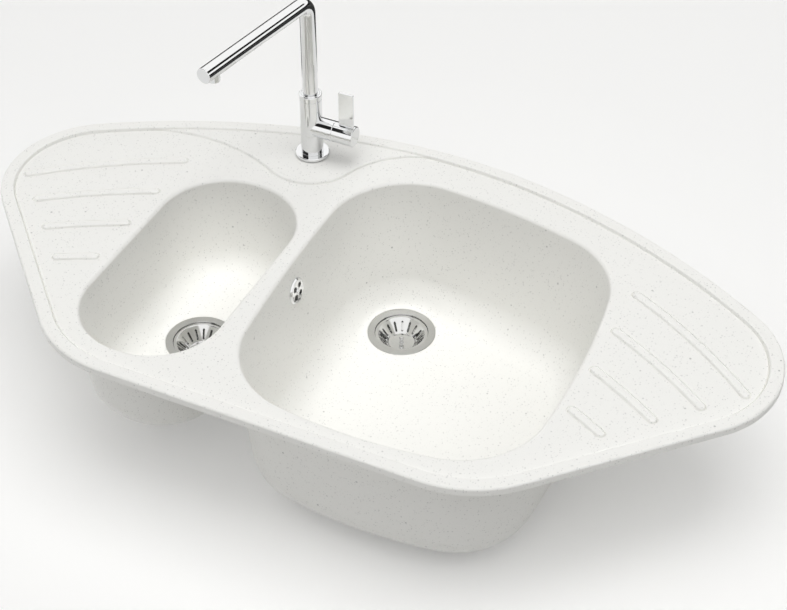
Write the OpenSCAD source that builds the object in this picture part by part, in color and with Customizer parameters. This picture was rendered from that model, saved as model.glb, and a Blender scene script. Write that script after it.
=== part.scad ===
// Corner kitchen sink with one and a half bowls, a single-lever mixer tap,
// two basket strainer wastes and an overflow.
//
// Plan sizes are measured from the front edge (y = 0) and from the centre line
// (x = 0). Heights are measured from the top of the rim (z = 0). The finished
// pieces are then placed so that the origin lies under the middle of the front
// rim, on the face that rests on the worktop.

/* [Outline] */
// Greatest width, from tip to tip
sink_w = 1060; // [1045:1:1080]
// Depth from the front edge to the middle of the back edge
sink_d = 565; // [555:1:575]
// Width of the front edge between its two sharp corners
front_w = 542; // [530:1:560]
// Angle between the front edge and each side edge
side_angle = 45; // [43:0.5:47]
// Radius of the two front corners
front_corner_r = 152; // [120:1:170]
// Radius of the two side tips
tip_r = 129; // [120:1:135]
// How far the middle curve of the back edge, carried on, would cut off the tips
back_inset = 14.3; // [13:0.1:16]
// Radius of the two shoulders of the back edge as a multiple of its middle's
shoulder_ratio = 1.233; // [1.2:0.001:1.27]

/* [Rim and deck] */
// Height of the outer edge of the rim
rim_h = 11; // [9:0.5:14]
// Width of the raised rim
rim_w = 15; // [12:0.5:20]
// Rounding of the rim's outer top edge
rim_round = 3; // [1.5:0.5:4]
// Slope width of the step from the rim down to the deck
step_w = 4; // [2:0.5:6]
// Drop from the rim's top to the deck
deck_drop = 3.5; // [2:0.5:5]
// Width of the flat band under the rim that rests on the worktop
seat_w = 18; // [14:1:24]
// How far the body inside the worktop cut-out hangs below that band
downstand = 3; // [2:0.5:6]

/* [Tap platform] */
// Rise of the tap platform above the deck
platform_rise = 1.8; // [1:0.1:3]
// Slope width of the platform's edge
platform_slope = 2.4; // [1.5:0.1:4]
// Distance of the tap from the centre line, to the left
tap_x = 172; // [165:1:180]
// Distance of the tap from the middle of the back edge
tap_back = 77; // [71:1:83]
// Radius of the platform's edge round the tap
platform_nose_r = 66; // [58:1:72]
// Radius of the deck lobe behind the drainer and small bowl
left_lobe_r = 230; // [220:1:240]
// Direction of that lobe's centre from the tap, counted from straight right
left_lobe_turn = 241; // [239:0.5:243]
// Direction of the lobe behind the big bowl, from the tap, below straight right
right_lobe_turn = 17; // [14:0.5:20]
// Diameter of the tap hole
tap_hole_d = 35; // [34:0.5:38]
// Thickness of the pad under the tap hole, below the body
tap_pad_h = 4; // [2:0.5:8]

/* [Big bowl] */
// Distance of the big bowl's left edge from the centre line
big_left = 91.5; // [86:0.5:94]
// Distance of the big bowl's right edge from the centre line
big_right = 304; // [296:1:308]
// Distance of the big bowl's front edge from the front of the sink
big_front = 36; // [32:1:44]
// Distance of the big bowl's back edge from the middle of the sink's back edge
big_back_gap = 68; // [65:1:80]
// Radius of the big bowl's corners
big_corner_r = 111; // [100:1:118]
// Radius of the curve of its front side
big_front_r = 633; // [560:1:800]
// Distance of that curve's middle from the centre line
big_front_peak_x = 102; // [90:1:115]
// Radius of the curve of its back side
big_back_r = 873; // [760:1:1000]
// Distance of that curve's middle from the centre line, to the left
big_back_peak_x = 15; // [5:1:25]
// Radius of the curve of its left side
big_left_r = 2255; // [1500:5:3000]
// Distance of that curve's middle from the front edge
big_left_peak_y = 350; // [300:1:370]
// Radius of the curve of its right side
big_right_r = 1097; // [900:1:1500]
// Distance of that curve's middle from the front edge
big_right_peak_y = 224; // [200:1:260]
// Depth of the big bowl below the deck
big_depth = 190; // [170:1:205]
// Distance of the big bowl's drain from its left edge
big_drain_in = 92; // [88:1:110]
// Distance of the big bowl's drain from its back edge
big_drain_back = 92; // [90:1:115]

/* [Small bowl] */
// Width of the small bowl
small_w = 184; // [172:1:190]
// Length of the small bowl
small_l = 352; // [330:1:360]
// Width of the bridge between the two bowls
bridge_w = 23; // [21:0.5:28]
// Distance of the small bowl's front edge from the front of the sink
small_front = 44; // [40:1:56]
// Radius of the small bowl's corners
small_corner_r = 88; // [80:1:89]
// Radius of the curve of its front and back ends
small_end_r = 186; // [150:1:230]
// Shift of the small bowl's drain from its middle, to the back
small_drain_shift = 6; // [0:1:12]
// Depth of the small bowl below the deck
small_depth = 138; // [120:1:150]

/* [Bowl walls] */
// Thickness of the bowl walls
wall_t = 9; // [7:0.5:10]
// Thickness of the bowl floors
floor_t = 12; // [10:0.5:14]
// Draft of the bowl walls
draft = 6; // [4:0.25:7]
// Rounding of the edge between deck and bowl
edge_r = 5; // [3:0.5:8]
// Radius between the big bowl's walls and floor
big_floor_r = 45; // [35:1:50]
// Radius between the small bowl's walls and floor
small_floor_r = 38; // [30:1:40]

/* [Drainer ribs] */
// Number of ribs on each drainer
rib_count = 4; // [2:1:4]
// Distance between neighbouring ribs
rib_pitch = 74; // [66:1:76]
// Width of a rib
rib_w = 10.5; // [8:0.5:14]
// Height of a rib above the deck
rib_h = 1.8; // [1:0.1:3]
// Radius of the ribs' curve
rib_curve_r = 752; // [700:1:800]
// Distance of the ribs' inner ends from the big bowl, on both sides alike
rib_bowl_gap = 13; // [10:1:18]
// How far the rearmost rib's inner end lies behind the middles of the side tips
rib_behind_tips = 90.6; // [84:0.2:95]
// Distance of the ribs' outer ends from the side edges
rib_inset = 45; // [38:1:55]
// Least distance of the ribs' outer ends from the side tips
rib_tip_gap = 23; // [20:1:30]

/* [Wastes] */
// Diameter of the waste flange
flange_d = 92; // [90:0.5:96]
// Thickness of the waste flange at its edge
flange_t = 2.3; // [1.6:0.1:3]
// Diameter of the waste's opening
cup_d = 73; // [70:0.5:75]
// Wall of the waste cup
cup_wall = 2; // [1.5:0.1:3]
// Depth of the waste cup inside
cup_depth = 22; // [20:0.5:26]
// Outer diameter of the threaded outlet, inch and a half pipe thread
outlet_d = 47.8; // [46:0.1:50]
// Length of the threaded outlet
outlet_l = 11; // [8:0.5:20]
// Number of slots round the basket
slot_count = 16; // [8:1:18]
// Width of the slots
slot_w = 3; // [2:0.25:5]
// Height of the basket's knob
knob_h = 11; // [8:0.5:14]
// Diameter of the basket's knob
knob_d = 6.6; // [5.6:0.2:8]
// Thickness of the basket's sheet
basket_t = 1.2; // [0.8:0.1:1.6]

/* [Overflow] */
// Height of the overflow's centre below the rim
overflow_z = 47; // [44:1:60]
// Distance of the overflow's centre from the front edge
overflow_y = 272; // [240:1:300]
// Diameter of the overflow rosette
rosette_d = 36; // [32:0.5:40]
// Thickness of the overflow rosette
rosette_t = 3; // [2:0.1:4]

/* [Tap] */
// Diameter of the tap's base ring
base_d = 46; // [42:0.5:50]
// Height of the tap's base ring
base_h = 4.5; // [3:0.5:7]
// Diameter of the tap's body
body_d = 30; // [29:0.5:32]
// Height of the tap's body above the base ring
body_h = 85; // [80:1:100]
// Height of the lever boss above the platform
boss_z = 47; // [44:1:52]
// Diameter of the lever boss and cap
boss_d = 28; // [27:0.5:29]
// Distance of the seam between boss and cap from the tap's axis
seam_x = 35.5; // [34:0.5:38]
// Length of the lever cap
cap_l = 29.5; // [26:0.5:34]
// Width of the lever blade
blade_w = 21; // [16:0.5:23]
// Thickness of the lever blade
blade_t = 4; // [3:0.1:5]
// Greatest tilt of the lever
lever_tilt = 25; // [20:1:26]
// Height of the blade's tip above the boss axis
blade_h = 65; // [55:1:80]
// Diameter of the spout tube
spout_d = 20.5; // [19:0.5:22]
// Wall of the spout tube
spout_wall = 1.25; // [1:0.05:2]
// Height of the spout's horizontal axis above the platform
spout_z = 237; // [200:1:260]
// Reach of the spout from the tap's axis to its end
spout_reach = 204; // [160:1:230]
// Bend radius of the spout, on its axis
spout_bend_r = 16; // [14:0.5:24]
// Angle of the spout from straight forward, to the left
spout_yaw = 10; // [0:1:30]
// Height of the collar that turns with the spout
collar_h = 8; // [6:0.5:12]
// Outer diameter of the aerator
aerator_d = 15; // [14:0.5:18]
// How far the aerator shows below the tube
aerator_drop = 6; // [4:0.5:9]
// Distance of the aerator's axis from the spout's end
aerator_in = 19; // [16:0.5:26]

/* [Hidden] */

stone = [0.93, 0.93, 0.91];
chrome = [0.78, 0.79, 0.8];
brushed = [0.68, 0.68, 0.67];
brass = [0.78, 0.65, 0.36];
dark_rubber = [0.16, 0.16, 0.17];
plastic = [0.9, 0.9, 0.88];

far = 100000;          // radius that stands for a straight side
gap = 0.3;             // clearance between pieces that don't fit each other
fit = 0.05;            // radial clearance of turning and sliding fits
deck_z = -deck_drop;
platform_z = deck_z + platform_rise;
body_bottom = -rim_h - downstand;

// Direction of an angle, and the angle of a direction
function heading(a) = [cos(a), sin(a)];
function bearing(v) = atan2(v[1], v[0]);
function mirrored(p) = [-p[0], p[1]];

// Point left of the line p to q, at distance a from p and b from q
function meet(p, q, a, b) =
    let(d = norm(q - p), u = (q - p) / d, along = (a * a - b * b + d * d) / (2 * d),
        side = sqrt(max(0, a * a - along * along)))
    p + along * u + side * [-u[1], u[0]];

// A side is [centre, radius]. A corner arc touches two sides from inside
function side_through(p, out, r) = [p - r * heading(out), r];
function corner_centre(s, t, r) = meet(s[0], t[0], s[1] - r, t[1] - r);

// n points along an arc, without its last
function arc(c, r, a, b, n) =
    [for (i = [0 : n - 1]) c + r * heading(a + ((b < a ? b + 360 : b) - a) * i / n)];

// Closed outline of sides and corners, grown outwards by g
function outline(sides, corners, side_n, corner_n, g) =
    let(k = len(sides),
        mid = [for (i = [0 : k - 1]) corner_centre(sides[i], sides[(i + 1) % k], corners[i])])
    [for (i = [0 : k - 1]) each concat(
        arc(sides[i][0], sides[i][1] + g, bearing(mid[(i + k - 1) % k] - sides[i][0]),
            bearing(mid[i] - sides[i][0]), side_n[i]),
        arc(mid[i], corners[i] + g, bearing(mid[i] - sides[i][0]),
            bearing(mid[i] - sides[(i + 1) % k][0]), corner_n[i]))];

// Solid through rings of equal length, given from bottom to top. Rings that
// bend inwards are closed by strips between their two long edges
module loft(rings, heights, strips = false) {
    n = len(rings[0]);
    m = len(rings);
    h = n / 2;
    base = strips
        ? concat([[0, 1, n - 1], [h - 1, h, h + 1]],
            [for (i = [1 : h - 2]) [i, i + 1, n - i - 1, n - i]])
        : [[for (i = [0 : n - 1]) i]];
    polyhedron(
        points = [for (j = [0 : m - 1], p = rings[j]) [p[0], p[1], heights[j]]],
        faces = concat(
            base,
            [for (j = [0 : m - 2], i = [0 : n - 1])
                let(k = (i + 1) % n) [j * n + i, (j + 1) * n + i, (j + 1) * n + k, j * n + k]],
            [for (f = base) [for (i = [len(f) - 1 : -1 : 0]) (m - 1) * n + f[i]]]));
}

// Outline of the sink
tip_centre = [sink_w / 2 - tip_r,
    (sink_w / 2 - tip_r - front_w / 2 + tip_r * sin(side_angle)) * tan(side_angle)
        + tip_r * cos(side_angle)];
back_reach = sink_d - tip_centre[1];
back_r = (pow(tip_centre[0], 2) + pow(back_reach, 2) - pow(tip_r - back_inset, 2))
    / (2 * (back_reach - tip_r + back_inset));
shoulder_r = shoulder_ratio * back_r;
crown_centre = [0, sink_d - back_r];
shoulder_centre = meet(tip_centre, crown_centre, shoulder_r - tip_r, shoulder_r - back_r);
rim_sides = [
    side_through([front_w / 2, 0], side_angle - 90, far),
    [shoulder_centre, shoulder_r],
    [mirrored(shoulder_centre), shoulder_r],
    side_through([-front_w / 2, 0], 270 - side_angle, far),
    side_through([0, 0], 270, far)];
rim_corners = [tip_r, back_r, tip_r, front_corner_r, front_corner_r];
function rim_ring(g) = outline(rim_sides, rim_corners, [1, 8, 8, 1, 1], [14, 10, 14, 8, 8], g);

// Outlines of the bowls
big_back = sink_d - big_back_gap;
big_sides = [
    side_through([big_right, big_right_peak_y], 0, big_right_r),
    side_through([-big_back_peak_x, big_back], 90, big_back_r),
    side_through([-big_left, big_left_peak_y], 180, big_left_r),
    side_through([big_front_peak_x, big_front], 270, big_front_r)];
big_corners = [big_corner_r, big_corner_r, big_corner_r, big_corner_r];
function big_ring(g) = outline(big_sides, big_corners, [3, 3, 3, 3], [8, 8, 8, 8], g);

small_mid = [-big_left - bridge_w - small_w / 2, small_front + small_l / 2];
small_sides = [
    side_through(small_mid + [small_w / 2, 0], 0, far),
    side_through(small_mid + [0, small_l / 2], 90, small_end_r),
    side_through(small_mid - [small_w / 2, 0], 180, far),
    side_through(small_mid - [0, small_l / 2], 270, small_end_r)];
small_corners = [small_corner_r, small_corner_r, small_corner_r, small_corner_r];
function small_ring(g) = outline(small_sides, small_corners, [1, 3, 1, 3], [9, 9, 9, 9], g);

big_floor_z = deck_z - big_depth;
small_floor_z = deck_z - small_depth;
big_drain = [-big_left + big_drain_in, big_back - big_drain_back];
small_drain = small_mid + [0, small_drain_shift];

// Profiles are lists of [growth, height]. The rim's runs from the plate's
// underside over the rounded edge and the rim's top down the step to the deck
rim_profile = concat(
    [[0, -rim_h]],
    [for (a = [0 : 30 : 90]) [rim_round * (cos(a) - 1), rim_round * (sin(a) - 1)]],
    [[-rim_w + 0.8, 0], [-rim_w - 0.4, -0.3],
     [-rim_w - step_w + 0.6, deck_z + 0.3], [-rim_w - step_w - 0.6, deck_z]]);

// Growth of a bowl wall's foot, where the radius r to the floor ends
function floor_growth(depth, r) =
    -(depth - edge_r - r + r * sin(draft)) * tan(draft) - r * cos(draft);

// Curve from the floor up to the wall, thickened by t outwards and ft down
function foot_profile(depth, r, t, ft) =
    [for (a = [-90 : 15 : -draft - 1]) [floor_growth(depth, r) + (r + t) * cos(a),
        deck_z - depth + r + (r + ft) * sin(a)]];

function inner_profile(depth, r) = concat(
    foot_profile(depth, r, 0, 0),
    [for (a = [90 : -30 : 0]) [edge_r * (1 - sin(a)), deck_z - edge_r * (1 - cos(a))]],
    [[edge_r, rim_h]]);

function outer_profile(depth, r) = concat(
    foot_profile(depth, r, wall_t, floor_t),
    [[wall_t - (deck_z - edge_r - body_bottom) * tan(draft), body_bottom]]);

module big_loft(profile) loft([for (s = profile) big_ring(s[0])], [for (s = profile) s[1]]);
module small_loft(profile) loft([for (s = profile) small_ring(s[0])], [for (s = profile) s[1]]);

// Tap platform: its edge runs over the left lobe, round the tap and over the
// right lobe, and its back lies inside the rim. g moves the edge inwards
tap_y = sink_d - tap_back;
tap_plan = [-tap_x, tap_y];
left_lobe = tap_plan + (platform_nose_r + left_lobe_r) * heading(left_lobe_turn);
under_rim = 5;          // how far each lobe reaches under the step
right_lobe_r = (sink_d - rim_w - step_w + under_rim - tap_y + platform_nose_r * sin(right_lobe_turn))
    / (1 - sin(right_lobe_turn));
right_lobe = tap_plan + (platform_nose_r + right_lobe_r) * heading(-right_lobe_turn);
lobe_end_turn = bearing(left_lobe - mirrored(shoulder_centre));
crown_turn = bearing(mirrored(crown_centre - shoulder_centre));
function platform_ring(g) = concat(
    [for (i = [0 : 8]) left_lobe + (left_lobe_r + g)
        * heading(lobe_end_turn + (left_lobe_turn - 180 - lobe_end_turn) * i / 9)],
    arc(tap_plan, platform_nose_r - g, left_lobe_turn, 360 - right_lobe_turn, 10),
    [for (i = [0 : 9]) right_lobe + (right_lobe_r + g)
        * heading(90 + (90 - right_lobe_turn) * (1 - i / 9))],
    arc(crown_centre, back_r - rim_w / 2, bearing([right_lobe[0], sink_d] - crown_centre),
        crown_turn, 13),
    arc(mirrored(shoulder_centre), shoulder_r - rim_w / 2, crown_turn,
        lobe_end_turn + 0.3, 14));
platform_profile = [
    [0, deck_z - 1.5], [0.1 * platform_slope, deck_z + 0.1 * platform_rise],
    [0.5 * platform_slope, deck_z + 0.75 * platform_rise], [platform_slope, platform_z]];

// Drainer rib number i on the right: an arched slot with round ends
rib_inner_x = big_right + rib_bowl_gap;
rib_first_y = tip_centre[1] + rib_behind_tips;
function rib_centre(i) = [0, rib_first_y - i * rib_pitch - sqrt(pow(rib_curve_r, 2) - pow(rib_inner_x, 2))];
function rib_in(i) = acos((rib_inner_x + rib_w / 2) / rib_curve_r);
function rib_out(i) = max(acos((sink_w / 2 - rib_tip_gap) / rib_curve_r), side_angle - 90
    + acos((([front_w / 2, 0] - rib_centre(i)) * heading(side_angle - 90) - rib_inset) / rib_curve_r));
function rib_ring(i, g) =
    let(c = rib_centre(i), a = rib_out(i), b = rib_in(i), h = rib_w / 2 + g, n = 6)
    concat(
        [for (t = [-90, -45]) c + rib_curve_r * heading(a) + h * heading(a + t)],
        [for (k = [0 : n]) c + (rib_curve_r + h) * heading(a + (b - a) * k / n)],
        [for (t = [45, 90, 135]) c + rib_curve_r * heading(b) + h * heading(b + t)],
        [for (k = [0 : n]) c + (rib_curve_r - h) * heading(b + (a - b) * k / n)],
        [c + rib_curve_r * heading(a) + h * heading(a + 225)]);
rib_profile = [[0.5, deck_z - 1], [-0.3, deck_z + 0.55 * rib_h], [-2.2, deck_z + rib_h]];

module ribs() for (i = [0 : rib_count - 1])
    loft([for (s = rib_profile) rib_ring(i, s[0])], [for (s = rib_profile) s[1]], strips = true);

// Where the overflow goes through the left wall of the big bowl
big_left_centre = big_sides[2][0];
overflow_turn = asin((big_left_peak_y - overflow_y) / big_left_r);
overflow_wall_r = big_left_r - (overflow_z + deck_z - edge_r) * tan(draft);
overflow_at = concat(big_left_centre - overflow_wall_r * heading(overflow_turn), [-overflow_z]);
module at_overflow() translate(overflow_at) rotate([0, 0, overflow_turn]) rotate([0, -draft, 0])
    rotate([0, 90, 0]) children();

// Every piece is built on the plan and set down at the origin here
module place() translate([0, -seat_w / 2, rim_h]) children();
module at_tap() translate(tap_at) children();
module at_big_waste() translate(concat(big_drain, [big_floor_z])) children();
module at_small_waste() translate(concat(small_drain, [small_floor_z])) children();

// Turns a profile of [radius, height] round the vertical
module turned(points) rotate_extrude($fn = 64) polygon(points);
module ring(r_in, r_out, low, high) turned([[r_in, low], [r_out, low], [r_out, high], [r_in, high]]);
module rod(r, low, high) translate([0, 0, low]) cylinder(r = r, h = high - low, $fn = 64);

tap_at = concat(tap_plan, [platform_z]);
waste_hole_r = cup_d / 2 + cup_wall + 0.7;
flange_up = 0.4;                       // flange's top above the bowl's floor
flange_gasket_t = 0.8;
flange_seat = flange_up - flange_t - flange_gasket_t;
waste_under = -floor_t;
lower_gasket_t = 2;
locknut_h = 6;
pad_bottom = body_bottom - tap_pad_h - platform_z;   // below the platform

module waste_cut() {
    rod(flange_d / 2 + 0.5, flange_seat, 5);
    rod(waste_hole_r, -floor_t - 5, 1);
}

// The sink is cast in one piece. It is kept as a plate and two bowls that meet
// it face to face at its underside, so that each hollow is a simple form
module sink_body() color(stone) difference() {
    union() {
        loft([for (s = rim_profile) rim_ring(s[0])], [for (s = rim_profile) s[1]]);
        translate([0, 0, body_bottom]) linear_extrude(downstand + 4) polygon(rim_ring(-seat_w));
        loft([for (s = platform_profile) platform_ring(s[0])], [for (s = platform_profile) s[1]],
            strips = true);
        ribs();
        mirror([1, 0, 0]) ribs();
        at_tap() rod(tap_hole_d / 2 + 14, pad_bottom, pad_bottom + tap_pad_h + 2);
    }
    big_loft(inner_profile(big_depth, big_floor_r));
    small_loft(inner_profile(small_depth, small_floor_r));
    at_tap() rod(tap_hole_d / 2, pad_bottom - 5, 20);
}
module big_bowl_shell() color(stone) difference() {
    union() {
        big_loft(outer_profile(big_depth, big_floor_r));
        at_overflow() rod(rosette_d / 2 - 1, -wall_t - 1.2, -wall_t / 2);
    }
    big_loft(inner_profile(big_depth, big_floor_r));
    at_big_waste() waste_cut();
    at_overflow() {
        rod(rosette_d / 2 + 0.6, 0, 12);
        rod(rosette_d / 2 - 5, -wall_t - 10, 1);
    }
}
module small_bowl_shell() color(stone) difference() {
    small_loft(outer_profile(small_depth, small_floor_r));
    small_loft(inner_profile(small_depth, small_floor_r));
    at_small_waste() waste_cut();
}

// Tap, measured from its axis and the platform's top
base_gasket_t = 1.2;
body_low = base_gasket_t + base_h;
body_top = body_low + body_h;
shank_r = 12;
shank_bore_r = 10;
shank_top = body_low + 14;
shank_bottom = pad_bottom - 36;
inlet_r = 4.45;
inlet_y = 5.2;
inlet_l = 10;
socket_r = 12;
socket_low = body_top - 25;
socket_plug_r = socket_r - fit;
chamber_r = 11.5;
chamber_back = -3;
boss_r = boss_d / 2;
boss_end = seam_x - 9.5;

// Lever: it tilts about a pin at pivot_x, so cover and cap are turned to
// spheres round that pin
pivot_x = seam_x - 12;
lip_t = 0.6;
cavity_r = norm([seam_x - pivot_x, boss_r - lip_t]);
dome_r = cavity_r - gap;
stem_r = 2.9;
cover_bore_r = dome_r * sin(lever_tilt + asin((stem_r + 2 * gap) / dome_r));
rotor_r = 9.5;
housing_front = seam_x - 15.5;
housing_step = housing_front - 7;
stem_back = pivot_x - 4.5;
stem_front = seam_x + 10.5;
screw_x = stem_front - 2.5;
blade_x = seam_x + cap_l - 2 - blade_w / 2;
blade_root = boss_r - 6;
module along_boss() translate([0, 0, boss_z]) rotate([0, 90, 0]) children();

module tap_base_ring() color(chrome) turned([
    [shank_r + gap, base_gasket_t], [base_d / 2, base_gasket_t],
    [base_d / 2, body_low - 0.9], [base_d / 2 - 0.3, body_low - 0.3], [base_d / 2 - 0.9, body_low],
    [shank_r + gap, body_low]]);

module tap_base_gasket() color(dark_rubber) ring(shank_r + 2, base_d / 2 - 1.5, 0, base_gasket_t);

module tap_body() color(chrome) difference() {
    union() {
        turned([[0, body_low], [body_d / 2, body_low], [body_d / 2, body_top - 0.5],
            [body_d / 2 - 0.5, body_top], [0, body_top]]);
        along_boss() rod(boss_r, 0, boss_end);
    }
    along_boss() rod(chamber_r, chamber_back, boss_end + 1);
    rod(socket_r, socket_low, body_top + 1);
    rod(4.5, boss_z, socket_low + 1);
    rod(shank_r, body_low - 1, shank_top);
    for (y = [-inlet_y, inlet_y]) translate([0, y, 0]) {
        rod(inlet_r, shank_top - 1, shank_top + inlet_l);
        rod(2.6, shank_top, boss_z);
    }
}

module threaded_shank() color(brass) ring(shank_bore_r, shank_r - fit, shank_bottom, shank_top);
module clamp_gasket() color(dark_rubber) ring(shank_r + gap, tap_hole_d / 2 + 8, pad_bottom - 3, pad_bottom);
module clamp_washer() color(brushed)
    ring(shank_r + gap, tap_hole_d / 2 + 7, pad_bottom - 5.5, pad_bottom - 3);
module shank_nut() color(brass) difference() {
    translate([0, 0, pad_bottom - 14.5]) cylinder(r = shank_r + 8, h = 9, $fn = 6);
    rod(shank_r + fit, pad_bottom - 16, pad_bottom - 4);
}

// Cartridge: a fixed housing, a rotor that sets the mix and a stem that sets the flow
module cartridge_housing() color(plastic) difference() {
    along_boss() rod(chamber_r - fit, chamber_back + 0.2, housing_front);
    along_boss() rod(rotor_r + gap, housing_step, housing_front + 1);
    for (y = [-inlet_y, inlet_y]) translate([0, y, 0]) rod(2.6, boss_z - 20, boss_z);
    rod(4, boss_z, boss_z + 20);
}
module cartridge_rotor() color(plastic) difference() {
    along_boss() rod(rotor_r, housing_step + gap, pivot_x + 2);
    translate([stem_back - 2, -stem_r - gap, boss_z - 7.5]) cube([20, 2 * (stem_r + gap), 15]);
    translate([pivot_x, 0, boss_z]) rotate([90, 0, 0]) rod(1.5, -rotor_r - 1, rotor_r + 1);
}
module pivot_pin() color(brushed) translate([pivot_x, 0, boss_z]) rotate([90, 0, 0])
    rod(1.49, -rotor_r + 0.6, rotor_r - 0.6);
module cartridge_stem() color(brass) difference() {
    along_boss() rod(stem_r, stem_back, stem_front);
    translate([pivot_x, 0, boss_z]) rotate([90, 0, 0]) rod(1.49 + fit, -rotor_r, rotor_r);
}
module cartridge_nut() color(brass) difference() {
    along_boss() ring(rotor_r + gap, chamber_r - fit, housing_front, boss_end);
    for (a = [45 : 90 : 315]) translate([0, 0, boss_z]) rotate([a, 0, 0])
        translate([boss_end - 2, -1.5, rotor_r - 1]) cube([4, 3, 5]);
}
dome_end = asin(boss_r / dome_r);
dome_start = asin(cover_bore_r / dome_r);
module boss_cover() color(chrome) along_boss() turned(concat(
    [[cover_bore_r, boss_end], [boss_r, boss_end]],
    [for (i = [0 : 8]) let(a = dome_end + (dome_start - dome_end) * i / 8)
        [dome_r * sin(a), pivot_x + dome_r * cos(a)]]));
module lever_cap() color(chrome) difference() {
    along_boss() turned([[0, seam_x], [boss_r, seam_x], [boss_r, seam_x + cap_l - 1.2],
        [boss_r - 0.35, seam_x + cap_l - 0.35], [boss_r - 1.2, seam_x + cap_l], [0, seam_x + cap_l]]);
    translate([pivot_x, 0, boss_z]) sphere(r = cavity_r, $fn = 96);
    along_boss() rod(stem_r + 0.03, pivot_x, stem_front + 0.3);
    translate([blade_x - blade_w / 2 - 0.03, -blade_t / 2 - 0.03, boss_z + blade_root])
        cube([blade_w + 0.06, blade_t + 0.06, boss_r]);
    translate([screw_x, 0, boss_z]) rod(2, -boss_r - 1, 0);
}
module lever_blade() color(chrome) translate([blade_x, blade_t / 2, boss_z]) rotate([90, 0, 0])
    linear_extrude(blade_t) polygon(concat(
        [[-blade_w / 2, blade_root], [blade_w / 2, blade_root]],
        arc([blade_w / 2 - 1.2, blade_h - 1.2], 1.2, 0, 90, 4),
        arc([-blade_w / 2 + 1.2, blade_h - 1.2], 1.2, 90, 180, 4),
        [[-blade_w / 2, blade_h - 1.2]]));
module cap_screw() color(brushed) translate([screw_x, 0, boss_z])
    rod(2 - fit, -boss_r + 0.6, -stem_r - 0.1);

// Spout, turned to the left of straight forward
collar_low = body_top + gap;
collar_top = collar_low + collar_h;
collar_r = body_d / 2 + 0.3;
spout_r = spout_d / 2;
spout_bore_r = spout_r - spout_wall;
ring_groove_r = 9.2;
ring_cord_r = 1.25;
ring_low_z = socket_low + 6;
ring_high_z = socket_low + 17;
end_cap_t = 2;
aerator_x = spout_reach - aerator_in;
aerator_top = spout_z - 4;
module turn_spout() rotate([0, 0, 270 - spout_yaw]) children();

module spout_insert() color(brass) difference() {
    union() {
        difference() {
            rod(socket_plug_r, socket_low + 1, collar_low);
            for (z = [ring_low_z, ring_high_z])
                ring(ring_groove_r, socket_r + 1, z - ring_cord_r - 0.1, z + ring_cord_r + 0.1);
        }
        rod(spout_bore_r - 0.03, collar_low - 1, collar_top + 13);
    }
    rod(6.5, socket_low - 1, collar_top + 20);
}
module seal_cord(z) color(dark_rubber) translate([0, 0, z]) rotate_extrude($fn = 64)
    translate([ring_groove_r + fit + ring_cord_r, 0]) circle(r = ring_cord_r, $fn = 24);
module spout_ring_upper() seal_cord(ring_high_z);
module spout_ring_lower() seal_cord(ring_low_z);
module spout_collar() color(chrome) turned([
    [spout_r + 0.03, collar_low], [collar_r - 0.4, collar_low], [collar_r, collar_low + 0.4],
    [collar_r, collar_top - 1], [collar_r - 0.3, collar_top - 0.3], [collar_r - 1, collar_top],
    [collar_r - 2.4, collar_top], [collar_r - 3, collar_top - 0.9], [collar_r - 3.6, collar_top],
    [spout_r + 0.03, collar_top]]);

// The tube goes up, round the bend and out, in three lengths of one section
spout_bend_z = spout_z - spout_bend_r;
module spout_tube() color(chrome) turn_spout() {
    ring(spout_bore_r, spout_r, collar_low, spout_bend_z);
    translate([spout_bend_r, 0, spout_bend_z]) rotate([90, 0, 180]) rotate_extrude(angle = 90, $fn = 128)
        translate([spout_bend_r, 0]) difference() {
            circle(r = spout_r, $fn = 64);
            circle(r = spout_bore_r, $fn = 64);
        }
    difference() {
        translate([0, 0, spout_z]) rotate([0, 90, 0])
            ring(spout_bore_r, spout_r, spout_bend_r, spout_reach - end_cap_t);
        translate([aerator_x, 0, 0]) rod(aerator_d / 2 + 0.03, aerator_top - spout_r, aerator_top + 1);
    }
}
module spout_end_cap() color(chrome) turn_spout() translate([0, 0, spout_z]) rotate([0, 90, 0])
    turned([[0, spout_reach - end_cap_t - 6], [spout_bore_r - 0.03, spout_reach - end_cap_t - 6],
        [spout_bore_r - 0.03, spout_reach - end_cap_t], [spout_r, spout_reach - end_cap_t],
        [spout_r, spout_reach - 0.7], [spout_r - 0.7, spout_reach], [0, spout_reach]]);
aerator_low = spout_z - spout_r - aerator_drop;
module at_aerator() turn_spout() translate([aerator_x, 0, 0]) children();
module aerator_shell() color(chrome) at_aerator() turned([
    [aerator_d / 2 - 1.3, aerator_low], [aerator_d / 2 - 0.5, aerator_low],
    [aerator_d / 2, aerator_low + 0.5], [aerator_d / 2, aerator_top],
    [aerator_d / 2 - 1.3, aerator_top]]);
module aerator_insert() color(plastic) at_aerator() difference() {
    rod(aerator_d / 2 - 1.33, aerator_low + 1, aerator_top - 1);
    for (a = [0 : 60 : 300]) rotate([0, 0, a]) translate([3.6, 0, 0])
        rod(1.1, aerator_low - 1, spout_z);
    rod(1.1, aerator_low - 1, spout_z);
}

// Wastes, measured from the drain's centre and the bowl's floor
cup_r = cup_d / 2;
cup_out_r = cup_r + cup_wall;
outlet_r = outlet_d / 2;
outlet_bore_r = outlet_r - 3.4;
cup_floor = flange_up - cup_depth;
outlet_end = cup_floor - cup_wall - outlet_l;
ledge_z = flange_up - 3.4;
ledge_r = cup_r - 2.4;
rim_up = ledge_z + gap;
cone_top_r = ledge_r - 0.8;
cone_low_r = 18.5;
seal_t = 1.5;
basket_low = cup_floor + gap + seal_t;
pin_r = 1.6;

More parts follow.
